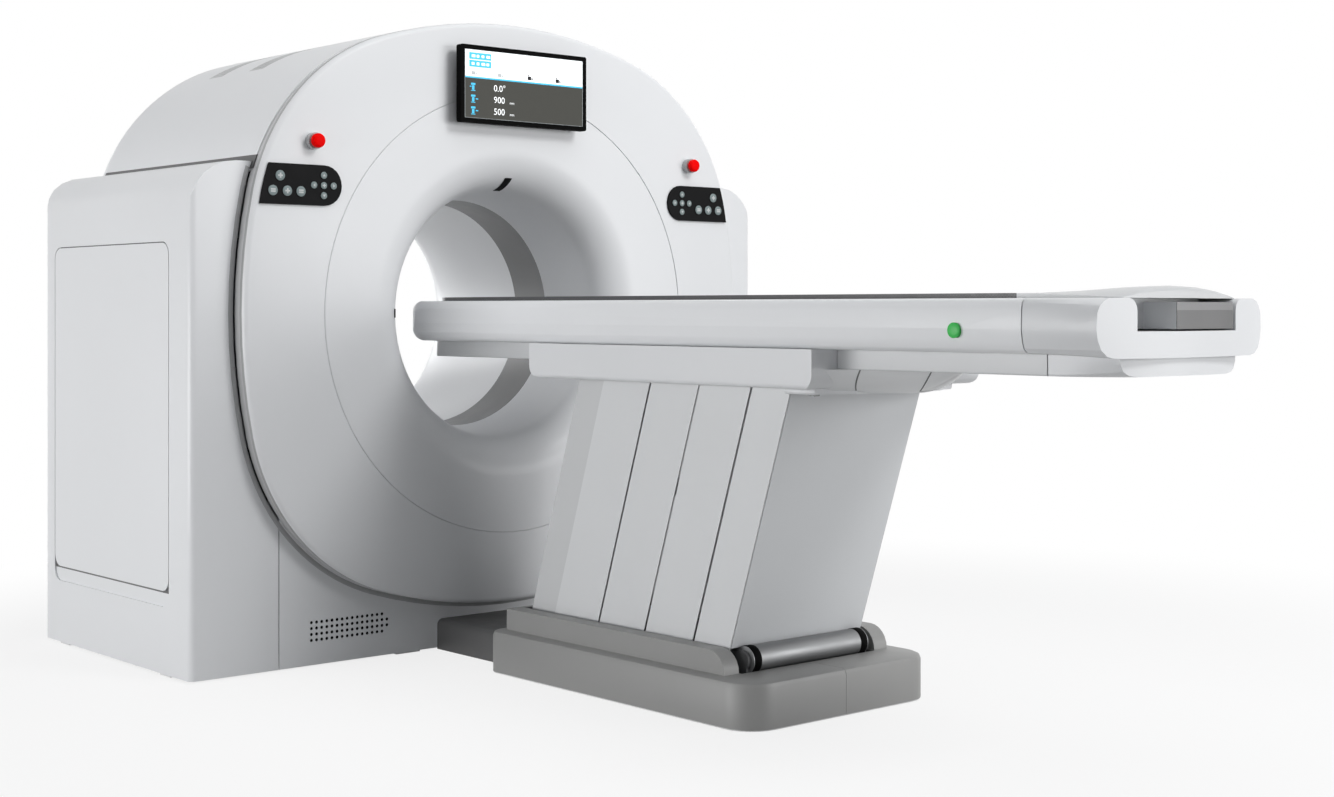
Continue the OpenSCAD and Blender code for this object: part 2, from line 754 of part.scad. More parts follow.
module slat_pair(k) {
    lo = slat_lo(k);
    hi = slat_hi(k);
    foot = [slat_mid(k), foot_z];
    foot_cut = k == 4 ? 22 : 0;
    head = leaned(slat_mid(k), head_z);
    color("gainsboro") both_sides()
        lengthwise(slat_face(k) - slat_thickness, slat_face(k)) difference() {
            union() {
                polygon([leaned(lo, slat_foot_z), leaned(hi - foot_cut, slat_foot_z),
                    leaned(hi, slat_foot_z + 2 * foot_cut), leaned(hi, slat_cut_z), leaned(lo, slat_cut_z)]);
                translate(head) circle(16);
            }
            translate(foot) circle(pin_radius + contact_gap);
            translate(head) circle(pin_radius + contact_gap);
        }
}
module side_slats_1() {
    slat_pair(0);
}
module side_slats_2() {
    slat_pair(1);
}
module side_slats_3() {
    slat_pair(2);
}
module side_slats_4() {
    slat_pair(3);
}
module side_slats_5() {
    slat_pair(4);
}
module cross_shaft(y, z, half) {
    translate([-half, y, z]) rotate([0, 90, 0]) cylinder(h = 2 * half, r = shaft_radius);
}
lug_x = 203.5;
rear_lug_x = 152;
rear_pivot = lift_pivot - arm_spacing;
module pivot_lug(y, x) {
    both_sides() lengthwise(x, x + 9.5) {
        translate([y - 17, 10]) square([34, foot_z - 10]);
        translate([y, foot_z]) circle(24);
    }
}
module table_anchor_holes() {
    for (x = [-1, 1], y = [-1, 1]) translate([140 * x, (plinth_near + plinth_far) / -2 + 250 * y, -1])
        cylinder(h = 20, r = 9);
}
module table_floor_frame() {
    color("dimgray") {
        difference() {
            union() {
                linear_extrude(3) polygon(plinth_rect(2));
                linear_extrude(12) polygon(plinth_rect(8));
            }
            table_anchor_holes();
        }
        both_sides() {
            translate([slat_outer_x + 2, 30 - lift_pivot, 10])
                cube([cavity_x - slat_outer_x - 3, lift_pivot - cavity_near - 60, guard_top - 17]);
            for (k = [0:4]) translate([slat_face(k) - slat_thickness, slat_mid(k), foot_z]) rotate([0, 90, 0])
                cylinder(h = slat_outer_x + 3 - slat_face(k) + slat_thickness, r = pin_radius);
        }
        pivot_lug(-lift_pivot, lug_x);
        pivot_lug(-rear_pivot, rear_lug_x);
        cross_shaft(-lift_pivot, foot_z, lug_x + 5);
        cross_shaft(-rear_pivot, foot_z, rear_lug_x + 5);
    }
}
// Draws in the frame of an arm: Z along the arm, Y up from its underside
module on_arm(y) {
    translate([0, y, foot_z]) rotate([lean, 0, 0]) children();
}
module hub(z, r, half) {
    translate([-half, 0, z]) rotate([0, 90, 0]) cylinder(h = 2 * half, r = r);
}
hub_clearance = shaft_radius + contact_gap;
panel_u = 29 * cos(lean);
panel_low = sqrt(barrel_radius * barrel_radius - panel_u * panel_u) + 1;
module front_lift_arm() {
    color("lightgray") on_arm(-lift_pivot) difference() {
        union() {
            hub(0, barrel_radius, lug_x - 0.5);
            hub(arm_length, 20, lug_x - 0.5);
            both_sides() {
                translate([175, panel_u + 4, -8]) cube([20, 30, arm_length - 52]);
                translate([175, panel_u + 4, arm_length - 64]) cube([20, 6.5, 40]);
                translate([175, 0, -8]) cube([20, panel_u + 10, panel_low + 7.4]);
                translate([175, 0, arm_length - 45.5]) cube([20, panel_u + 10.5, 21.5]);
                translate([175, -12, arm_length - 42]) cube([20, 30, 42]);
            }
        }
        hub(0, hub_clearance, lug_x + 1);
        hub(arm_length, hub_clearance, lug_x + 1);
    }
}
module lift_end_panel() {
    color("lightgray") on_arm(-lift_pivot)
        translate([layer_step - slat_outer_x + 0.2, panel_u, panel_low])
            cube([2 * (slat_outer_x - layer_step - 0.2), 4, arm_length - 46 - panel_low]);
}
module rear_lift_arm() {
    color("gray") on_arm(-rear_pivot) difference() {
        union() {
            hub(0, 22, rear_lug_x - 0.5);
            hub(arm_length, 20, rear_lug_x - 0.5);
            both_sides() translate([110, -20, 0]) cube([20, 40, arm_length]);
            translate([-120, -15, arm_length / 2]) cube([240, 30, 40]);
        }
        hub(0, hub_clearance, rear_lug_x);
        hub(arm_length, hub_clearance, rear_lug_x);
    }
}

// Carriage at the head of the lift
plate_x = rail_width / 2 - 6;
tray_x = top_width / 2 - 1;
tray_near = 850;
tray_far = 1915;
tray_floor = rail_bottom_z - 46;
plate_near = leaned(slat_mid(4), head_z).x + 34;
module lift_carriage() {
    heads = [leaned(-lift_pivot, head_z), leaned(-rear_pivot, head_z)];
    color("dimgray") {
        both_sides() {
            lengthwise(plate_x, plate_x + 6) polygon([
                [heads[0].x - 30, rail_bottom_z], [heads[0].x - 30, head_z - 18],
                [heads[0].x + 22, head_z - 18],
                [heads[0].x + 34, head_z + 8], [heads[0].x + 72, head_z + 8], [heads[0].x + 78, head_z - 10],
                [plate_near, head_z - 10], [plate_near, rail_bottom_z]]);
            for (k = [0:4]) let (head = leaned(slat_mid(k), head_z))
                translate([plate_x + 1, head.x, head.y]) rotate([0, 90, 0])
                    cylinder(h = slat_face(k) - plate_x - 1, r = pin_radius);
        }
        for (h = heads) cross_shaft(h.x, h.y, plate_x + 1);
    }
}
tray_bend = 34;
tray_edge = 12;
module tray_block(inset, top) {
    intersection() {
        lengthwise(inset - tray_x, tray_x - inset) polygon(round_rect(
            [inset - tray_far, tray_floor + inset], [-tray_near - inset, top],
            [tray_bend - inset, tray_bend - inset, 0, 0]));
        upright(-tray_far, -tray_near) polygon(round_rect(
            [inset - tray_x, tray_floor + inset], [tray_x - inset, top],
            [tray_edge - inset, tray_edge - inset, 0, 0]));
    }
}
module carriage_tray() {
    opening = cavity_x - 1;
    color("gainsboro") difference() {
        tray_block(0, top_bottom_z);
        difference() {
            tray_block(plinth_wall, top_bottom_z + 10);
            translate([-tray_x, -tray_far, top_bottom_z - 6]) difference() {
                cube([2 * tray_x, tray_far - tray_near, 6]);
                translate([36, 36, -1]) cube([2 * tray_x - 72, tray_far - tray_near - 72, 8]);
            }
        }
        translate([-opening, 40 - tray_far, tray_floor - 1])
            cube([2 * opening, tray_far - tray_near - 80, 20]);
        translate([-rail_width / 2 - 1, -tray_far - 10, rail_bottom_z - 1])
            cube([rail_width + 2, tray_far - tray_near + 20, 100]);
    }
}
// Boat-shaped cover under the rail behind the tray, wide at the top and round below
boat_x = 246;
boat_end = 2135;
boat_floor = rail_bottom_z - 60;
boat_top = rail_bottom_z - 6;
boat_levels = [[0, 55], [0.09, 34], [0.28, 18], [0.5, 8], [0.77, 2], [1, 0]];
function boat_ring(inset, z) =
    let (w = boat_x - inset, front = -tray_far - contact_gap, reach = boat_end - tray_far - 1.5 * inset)
    [for (i = [0:24]) let (a = 180 + 7.5 * i, c = cos(a), n = sin(a))
        [w * sign(c) * pow(abs(c), 0.75), front - reach * pow(abs(n), 0.75), z]];
module boat_block(inset, rise) {
    span = boat_top - boat_floor - inset;
    loft(concat(
        [for (l = boat_levels) boat_ring(l[1] + inset, boat_floor + inset + l[0] * span)],
        [boat_ring(inset, boat_top + rise)]));
}
module carriage_tail_cover() {
    rib = (boat_end - tray_far) / 2;
    color("gainsboro") {
        difference() {
            boat_block(0, 0.01);
            boat_block(plinth_wall, 10);
        }
        both_sides() translate([boat_x - 96, -tray_far - 20 - rib, boat_floor + 2])
            cube([12, rib, rail_bottom_z - boat_floor - 2]);
    }
}

// Table top
rail_nose = top_nose + 17;
crease_z = (top_z + top_bottom_z) / 2 - 6;
channel_x = 200;
nose_bend = 50;
channel_z = top_z - 70;
function top_half(inset) = [for (p = [
        [30, 0], [18, 3], [9, 11], [4, 25], [0, crease_z - top_bottom_z], [1.5, top_height - 22],
        [4, top_height - 10], [9, top_height - 3], [16, top_height]])
    [top_width / 2 - p.x - inset, top_bottom_z + max(inset, min(top_height - inset, p.y))]];
module top_section(inset) {
    half = top_half(inset);
    polygon(concat(half, [for (i = [len(half) - 1:-1:0]) [-half[i].x, half[i].y]]));
}
module rail_section(inset) {
    polygon(round_rect([inset - rail_width / 2, rail_bottom_z + inset],
        [rail_width / 2 - inset, top_bottom_z - inset], [4, 4, 0, 0]));
}
module table_top_frame() {
    color("white") difference() {
        intersection() {
            upright(-tail_seam, -top_nose) top_section(0);
            translate([0, 0, rail_bottom_z - 50]) linear_extrude(400) polygon(round_rect(
                [-top_width / 2, -tail_seam - 10], [top_width / 2, -top_nose], [0, 0, 60, 60]));
            lengthwise(-top_width, top_width) polygon(round_rect(
                [-tail_seam - 10, top_bottom_z], [-top_nose, top_z], [0, nose_bend, nose_bend, 0]));
        }
        upright(-tail_seam - 1, -top_nose - 70) difference() {
            top_section(6);
            translate([-channel_x - 6, channel_z - 6]) square([2 * channel_x + 12, 200]);
        }
        translate([-channel_x, -tail_seam - 1, channel_z])
            cube([2 * channel_x, tail_seam - top_nose - 40, 100]);
        translate([-top_width / 2 - 5, -button_y, crease_z - 4]) rotate([0, 90, 0])
            cylinder(h = 40, r = button_diameter / 2 + contact_gap);
    }
}
module table_rail() {
    color("gainsboro") difference() {
        intersection() {
            upright(-tail_seam, -rail_nose) rail_section(0);
            lengthwise(-rail_width, rail_width) polygon(round_rect(
                [-tail_seam - 10, rail_bottom_z], [-rail_nose, top_bottom_z], [0, 26, 0, 0]));
            translate([0, 0, rail_bottom_z - 50]) linear_extrude(400) polygon(round_rect(
                [-rail_width / 2, -tail_seam - 10], [rail_width / 2, -rail_nose], [0, 0, 30, 30]));
        }
        upright(-tail_seam - 1, -rail_nose - 40) rail_section(6);
    }
}
// Tail cover with a hand notch in its end; its sections grow rounder towards the end
tail_bulge = 20;
slab_start = [[30, 0], [18, 3], [9, 11], [4, 25], [0, 51.5], [1.5, 93], [4, 105], [9, 112], [16, 115]];
slab_round = [[58, -8], [36, -4], [17, 10], [6, 30], [2, 54], [5, 82], [14, 98], [28, 109], [48, 115]];
rail_start = [[4, 0], [1.2, 1.2], [0, 4], [0, 20], [0, 47.5]];
rail_round = [[64, 2], [36, 6], [16, 17], [5, 31], [1, 47.5]];
function tail_ring(from, to, half, base, tall, inset, step) =
    let (t = pow(max(0, step), 2), k = tall / from[len(from) - 1].y,
        side = [for (i = [0:len(from) - 1]) let (p = from[i] + t * (to[i] - from[i]))
            [half - p.x - inset, base + max(k * min(0, p.y) + inset, min(tall - inset, k * p.y))]])
    [for (q = concat(side, [for (i = [len(side) - 1:-1:0]) [-side[i].x, side[i].y]]))
        [q.x, -tail_seam - (inset > 0 ? 2 : 3) - step * (tail_end - tail_seam), q.y]];
module tail_solid(from, to, half, base, tall, inset, back) {
    intersection() {
        loft([for (i = [0:7]) tail_ring(from, to, half, base, tall, inset, i / 6.5)]);
        translate([0, 0, base - 50]) linear_extrude(tall + 100) polygon(concat(
            [[half + 20, -tail_seam + 9], [-half - 20, -tail_seam + 9]],
            [for (i = [-8:8]) let (x = (half + 20) * i / 8)
                [x, back + inset - tail_end + tail_bulge * pow(x / half, 2)]]));
    }
}
module tail_block(inset) {
    tail_solid(slab_start, slab_round, top_width / 2, top_bottom_z, top_height, inset, 0);
    tail_solid(rail_start, rail_round, rail_width / 2, rail_bottom_z, rail_height + (inset > 0 ? 5 : 0.5),
        inset, 8);
}
notch_x = 178;
module notch_area(spare) {
    bend = 26;
    polygon(concat(
        [[notch_x + spare, channel_z + 2 - spare]],
        [for (i = [0:5]) let (a = 180 - 18 * i)
            [notch_x + bend + (bend - spare) * cos(a), top_z - bend + (bend - spare) * sin(a)]],
        [[notch_x + bend, top_z + 40], [-notch_x - bend, top_z + 40]],
        [for (i = [5:-1:0]) let (a = 180 - 18 * i)
            [-notch_x - bend - (bend - spare) * cos(a), top_z - bend + (bend - spare) * sin(a)]],
        [[-notch_x - spare, channel_z + 2 - spare]]));
}
module table_tail_cover() {
    color("white") {
        difference() {
            tail_block(0);
            difference() {
                tail_block(5);
                upright(-tail_end - 40, -tail_seam + 20) notch_area(5);
            }
            upright(-tail_end - 50, -tail_seam + 30) notch_area(0);
        }
        both_sides() {
            translate([channel_x + 20, -tail_seam - 24, top_bottom_z + 3]) cube([40, 18, 16]);
            translate([channel_x + 20, -tail_seam - 10, top_bottom_z + 6 + contact_gap]) cube([40, 22, 12]);
        }
    }
}
cradle_far = tail_end - 282;
cradle_low = top_z + slide_clearance;
module cradle_board() {
    w = cradle_width / 2;
    dish = 4;
    color("dimgray") intersection() {
        upright(-cradle_far, -top_nose - 30) polygon(concat(
            [[-w, cradle_low], [w, cradle_low]],
            [for (i = [8:-1:-8])
                [w * i / 8, cradle_low + cradle_thickness - dish * (1 - pow(i / 8, 2))]]));
        translate([0, 0, cradle_low - 1]) linear_extrude(cradle_thickness + 2) polygon(round_rect(
            [-w, -tail_end], [w, -top_nose - 30], [0, 0, 60, 60]));
    }
}
// Domed grey end of the cradle; each station gives place, half width, edge height and crown height
hump_crown = 26;
hump_stations = [
    [contact_gap, 0, 1, 0.41], [60, 0, 0.9, 0.6], [115, 0, 0.7, 0.78], [165, 0, 0.48, 0.92],
    [205, 1, 0.3, 0.99], [230, 3, 0.2, 1], [246, 6, 0.14, 0.96], [254, 10, 0.1, 0.84], [257, 16, 0.08, 0.6]];
function hump_ring(st) =
    let (w = cradle_width / 2 - st[1], crown = hump_crown * st[3], edge = cradle_thickness * st[2],
        side = [[1, 0], [0.91, 0.2], [0.68, 0.6], [0.35, 0.9], [0, 1]],
        right = [for (p = side) [w * p.x, cradle_low + edge + max(0.5, crown - edge) * p.y]])
    [for (q = concat([[-w, cradle_low], [w, cradle_low]], right,
            [for (i = [3:-1:0]) [-right[i].x, right[i].y]]))
        [q.x, -cradle_far - st[0], q.y]];
// Pull block and back plate below the hump, which run in the channel of the table top
module cradle_tail() {
    color("silver") loft([for (st = hump_stations) hump_ring(st)]);
    color("dimgray") {
        translate([8 - notch_x, -tail_end + 92, channel_z + 6])
            cube([2 * notch_x - 16, 10, top_z - channel_z]);
        translate([-35, -tail_end + 10, channel_z + 6]) cube([notch_x + 29, 86, top_z - channel_z - 14]);
    }
}
button_travel = 4;
module release_button() {
    color("green") translate([-top_width / 2 - 6, -button_y, crease_z - 4]) rotate([0, 90, 0])
        cylinder(h = 18, d = button_diameter);
}

gantry_base();
stator_frame();
front_cover();
front_funnel();
front_trim_band();
rear_cover();
rear_funnel();
top_cover();
top_grilles();
left_side_cover();
right_side_cover();
service_panels();
front_base_cover();
rear_base_cover();
bore_window();
laser_windows();
display_housing();
display_screen();
left_control_panel();
right_control_panel();
estop_collars();
left_estop();
right_estop();
bearing_outer_ring();
brush_block();
drive_motor();
motor_pulley();
drive_belt();
rotor_drum();
bearing_inner_ring();
slip_ring();
xray_tube();
collimator();
detector();
hv_tank();
tube_cooler();
link_duct();
table_floor_frame();
plinth_covers();
base_guard();
front_lift_arm();
lift_end_panel();
rear_lift_arm();
side_slats_1();
side_slats_2();
side_slats_3();
side_slats_4();
side_slats_5();
lift_carriage();
carriage_tray();
carriage_tail_cover();
table_rail();
table_top_frame();
table_tail_cover();
cradle_board();
cradle_tail();
release_button();
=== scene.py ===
import math

import bmesh
import bpy
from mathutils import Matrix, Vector


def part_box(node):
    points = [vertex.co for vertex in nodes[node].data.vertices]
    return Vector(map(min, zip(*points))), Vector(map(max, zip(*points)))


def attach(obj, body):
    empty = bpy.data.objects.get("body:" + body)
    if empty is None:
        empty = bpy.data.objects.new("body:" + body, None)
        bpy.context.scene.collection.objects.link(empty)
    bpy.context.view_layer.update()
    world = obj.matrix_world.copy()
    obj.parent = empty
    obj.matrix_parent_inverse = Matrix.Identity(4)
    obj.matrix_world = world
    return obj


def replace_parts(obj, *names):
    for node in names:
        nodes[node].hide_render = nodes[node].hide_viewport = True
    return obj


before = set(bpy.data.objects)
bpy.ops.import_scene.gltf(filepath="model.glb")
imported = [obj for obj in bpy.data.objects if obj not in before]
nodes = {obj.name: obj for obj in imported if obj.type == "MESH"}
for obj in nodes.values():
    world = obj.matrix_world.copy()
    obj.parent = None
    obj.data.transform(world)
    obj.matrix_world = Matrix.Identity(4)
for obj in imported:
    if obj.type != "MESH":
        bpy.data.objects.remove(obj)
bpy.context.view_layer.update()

FACE_Y = -0.386     # front of the gantry's cover
ISO_Z = 0.985       # height of the bore's axis


# Shader nodes

NOISE_RANGE = (0.3, 0.7)
DRIFT_DETAIL, GRAIN_DETAIL = 3.0, 2.0
GLOSS_SCALE, GLOSS_DETAIL = 4, 4.0      # finer than the colour drift
COAT_ROUGH = 0.12
LEAST_ROUGH = 0.02
DUST_SCALE, DUST_DETAIL, DUST_RANGE, DUST_COLOUR = 2.2, 6.0, (0.48, 0.72), (0.5, 0.49, 0.47)
WEAVE_DARK, WEAVE_LIGHT, WEAVE_SHARE = 0.72, 1.4, 0.6
GRAIN_DEPTH = 0.0006
BRUSH_SCALE, BRUSH_STRENGTH, BRUSH_DEPTH = 60, 0.12, 0.0005


def set_value(shader, **values):
    for name, value in values.items():
        shader.inputs[name.replace("_", " ")].default_value = value


def combine(tree, operation, first, second):
    """Math node on two sockets, or on a socket and a number."""
    node = tree.nodes.new("ShaderNodeMath")
    node.operation = operation
    for value, socket in zip((first, second), node.inputs):
        if isinstance(value, bpy.types.NodeSocket):
            tree.links.new(value, socket)
        else:
            socket.default_value = value
    return node.outputs["Value"]


def map_range(tree, value, source, result):
    node = tree.nodes.new("ShaderNodeMapRange")
    for name, number in zip(("From Min", "From Max", "To Min", "To Max"), (*source, *result)):
        node.inputs[name].default_value = number
    tree.links.new(value, node.inputs["Value"])
    return node


def lay_over(tree, factor, below, colour):
    """A plain colour laid over another one, as far as the factor says."""
    mix = tree.nodes.new("ShaderNodeMix")
    mix.data_type = "RGBA"
    mix.inputs["B"].default_value = (*colour, 1)
    tree.links.new(factor, mix.inputs["Factor"])
    tree.links.new(below, mix.inputs["A"])
    return mix.outputs["Result"]


def add_bump(tree, height, strength, depth):
    bump = tree.nodes.new("ShaderNodeBump")
    bump.inputs["Strength"].default_value = strength
    bump.inputs["Distance"].default_value = depth
    tree.links.new(height, bump.inputs["Height"])
    tree.links.new(bump.outputs["Normal"], tree.nodes["Principled BSDF"].inputs["Normal"])


def mix_shaders(tree, factor, first, second, output):
    mix = tree.nodes.new("ShaderNodeMixShader")
    tree.links.new(factor, mix.inputs["Fac"])
    tree.links.new(first, mix.inputs[1])
    tree.links.new(second, mix.inputs[2])
    tree.links.new(mix.outputs["Shader"], tree.nodes[output].inputs["Surface"])


def inside(tree, coords, limits):
    """1 where every limit holds, on the object's own coordinates or its normal."""
    total = None
    for source, axis, low, high in limits:
        split = tree.nodes.new("ShaderNodeSeparateXYZ")
        tree.links.new(coords.outputs[source], split.inputs["Vector"])
        for operation, bound in (("GREATER_THAN", low), ("LESS_THAN", high)):
            if bound is not None:
                test = combine(tree, operation, split.outputs[axis], bound)
                total = test if total is None else combine(tree, "MULTIPLY", total, test)
    return total


def surface(name, colour, rough=0.4, spread=0.05, spread_scale=3.0, grain=0.0, grain_scale=900.0,
            rough_spread=0.04, metal=0.0, coat=0.0, dust=0.0, weave=0.0, specular=0.5, zones=()):
    """Painted, moulded or metal surface with soft colour drift, uneven gloss and a fine grain.

    Each zone is (colour, limits): limits of (source, axis, low, high) that all have to hold."""
    mat = bpy.data.materials.new(name)
    mat.use_nodes = True
    tree = mat.node_tree
    shader = tree.nodes["Principled BSDF"]
    set_value(shader, Metallic=metal, Coat_Weight=coat, Coat_Roughness=COAT_ROUGH, Specular_IOR_Level=specular)
    coords = tree.nodes.new("ShaderNodeTexCoord")

    def noise(scale, detail):
        n = tree.nodes.new("ShaderNodeTexNoise")
        n.inputs["Scale"].default_value = scale
        n.inputs["Detail"].default_value = detail
        tree.links.new(coords.outputs["Object"], n.inputs["Vector"])
        return n.outputs["Fac"]

    ramp = tree.nodes.new("ShaderNodeValToRGB")
    ends = ([max(0.0, c * (1 - spread)) for c in colour], [min(1.0, c * (1 + spread)) for c in colour])
    for element, position, end in zip(ramp.color_ramp.elements, NOISE_RANGE, ends):
        element.position = position
        element.color = (*end, 1)
    tree.links.new(noise(spread_scale, DRIFT_DETAIL), ramp.inputs["Fac"])
    colour_out = ramp.outputs["Color"]
    if dust:
        settled = map_range(tree, noise(DUST_SCALE, DUST_DETAIL), DUST_RANGE, (0.0, dust))
        colour_out = lay_over(tree, settled.outputs["Result"], colour_out, DUST_COLOUR)
    if weave:
        checks = tree.nodes.new("ShaderNodeTexChecker")
        checks.inputs["Scale"].default_value = weave
        checks.inputs["Color1"].default_value = (*[c * WEAVE_DARK for c in colour], 1)
        checks.inputs["Color2"].default_value = (*[min(1, c * WEAVE_LIGHT) for c in colour], 1)
        tree.links.new(coords.outputs["Object"], checks.inputs["Vector"])
        both = tree.nodes.new("ShaderNodeMix")
        both.data_type = "RGBA"
        both.inputs["Factor"].default_value = WEAVE_SHARE
        tree.links.new(colour_out, both.inputs["A"])
        tree.links.new(checks.outputs["Color"], both.inputs["B"])
        colour_out = both.outputs["Result"]
    for zone_colour, limits in zones:
        colour_out = lay_over(tree, inside(tree, coords, limits), colour_out, zone_colour)
    tree.links.new(colour_out, shader.inputs["Base Color"])
    gloss = map_range(tree, noise(spread_scale * GLOSS_SCALE, GLOSS_DETAIL), NOISE_RANGE,
                      (max(LEAST_ROUGH, rough - rough_spread), rough + rough_spread))
    tree.links.new(gloss.outputs["Result"], shader.inputs["Roughness"])
    if grain:
        add_bump(tree, noise(grain_scale, GRAIN_DETAIL), grain, GRAIN_DEPTH)
    return mat


def brushed(name, colour, rough, stretch):
    """Metal with fine lines along one axis."""
    mat = surface(name, colour, rough, spread=0.08, metal=1.0, rough_spread=0.05)
    tree = mat.node_tree
    coords = tree.nodes.new("ShaderNodeTexCoord")
    mapping = tree.nodes.new("ShaderNodeMapping")
    mapping.inputs["Scale"].default_value = stretch
    lines = tree.nodes.new("ShaderNodeTexNoise")
    lines.inputs["Scale"].default_value = BRUSH_SCALE
    tree.links.new(coords.outputs["Object"], mapping.inputs["Vector"])
    tree.links.new(mapping.outputs["Vector"], lines.inputs["Vector"])
    add_bump(tree, lines.outputs["Fac"], BRUSH_STRENGTH, BRUSH_DEPTH)
    return mat


def glowing(name, colour, strength):
    mat = surface(name, colour, 0.4, spread=0.02, spread_scale=40, specular=0.1)
    shader = mat.node_tree.nodes["Principled BSDF"]
    shader.inputs["Emission Color"].default_value = (*colour, 1)
    shader.inputs["Emission Strength"].default_value = strength
    return mat


# Materials of the CAD nodes, some with zones in another colour, several of them painted shade or painted light

WHITE_PAINT = (0.80, 0.81, 0.825)
TRIM_GREY = (0.40, 0.402, 0.406)
SEAM_SHADE = (0.10, 0.10, 0.102)
# near-black painted shade for the vent holes and the sheet behind them
VENT_SHADE_BLACK = (0.012, 0.012, 0.012)
STRIP_PALE = (0.72, 0.72, 0.72)
# Tail cap: its foot painted lighter as painted light on its shaded sides; the pull block's front is dark grey
# of its own, darkened further as painted shade, below a lighter painted band of light at its top
HUMP_FOOT_LIT, PULL_DARK_SHADED, PULL_LIT_BAND = (0.72, 0.73, 0.74), (0.035, 0.035, 0.037), (0.12, 0.12, 0.124)

SIDE_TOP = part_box("left_side_cover")[1][2]
SIDE_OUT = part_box("right_side_cover")[1][0]
DRUM_SEAM = SIDE_TOP + 0.018    # the drum takes painted shade below this, down in its seam
FACE_EDGE = FACE_Y + 0.013      # the face is grey behind this, round its edge
STRIP_TOP = 0.0045              # the inner frames are pale below this, under the covers

# Painted shade, in SEAM_SHADE, on the flange seen through the gap round the service panels of the side covers
PANEL_LOW, PANEL_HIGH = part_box("service_panels")
PANEL_ROOM = 0.006
RECESS_NEAR, RECESS_FAR = SIDE_OUT - 0.003, SIDE_OUT - 0.2
FACING = 0.9
PANEL_RECESS = [("Object", "Y", PANEL_LOW[1] - PANEL_ROOM, PANEL_HIGH[1] + PANEL_ROOM),
                ("Object", "Z", PANEL_LOW[2] - PANEL_ROOM, PANEL_HIGH[2] + PANEL_ROOM)]
RIGHT_RECESS = [("Object", "X", RECESS_FAR, RECESS_NEAR), ("Normal", "X", FACING, None)] + PANEL_RECESS
LEFT_RECESS = [("Object", "X", -RECESS_NEAR, -RECESS_FAR), ("Normal", "X", None, -FACING)] + PANEL_RECESS

BASE_FRONT, BASE_BACK = (corner[1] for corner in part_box("front_base_cover"))
# the walls of the vent holes in the base cover are painted near-black as shade
VENT_X0, VENT_X1, VENT_Z0, VENT_Z1 = -0.71, -0.38, 0.048, 0.148
VENT_SKIN = 0.0006
VENT_WALLS = [("Object", "X", VENT_X0, VENT_X1), ("Object", "Y", BASE_FRONT + VENT_SKIN, None),
              ("Object", "Z", VENT_Z0, VENT_Z1)]

BOARD_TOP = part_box("cradle_board")[1][2]
PULL_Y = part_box("cradle_tail")[0][1] + 0.0015
PULL_Z = BOARD_TOP - 0.036
HUMP_FOOT = BOARD_TOP - 0.012


def cover_paint(name, zones=()):
    return surface(name, WHITE_PAINT, 0.36, 0.012, 1.5, 0.05, 700, 0.03, coat=0.05, specular=0.3, zones=zones)


def table_paint(name, colour):
    return surface(name, colour, 0.34, 0.012, 1.5, 0.04, 700, 0.03, coat=0.05, specular=0.3)


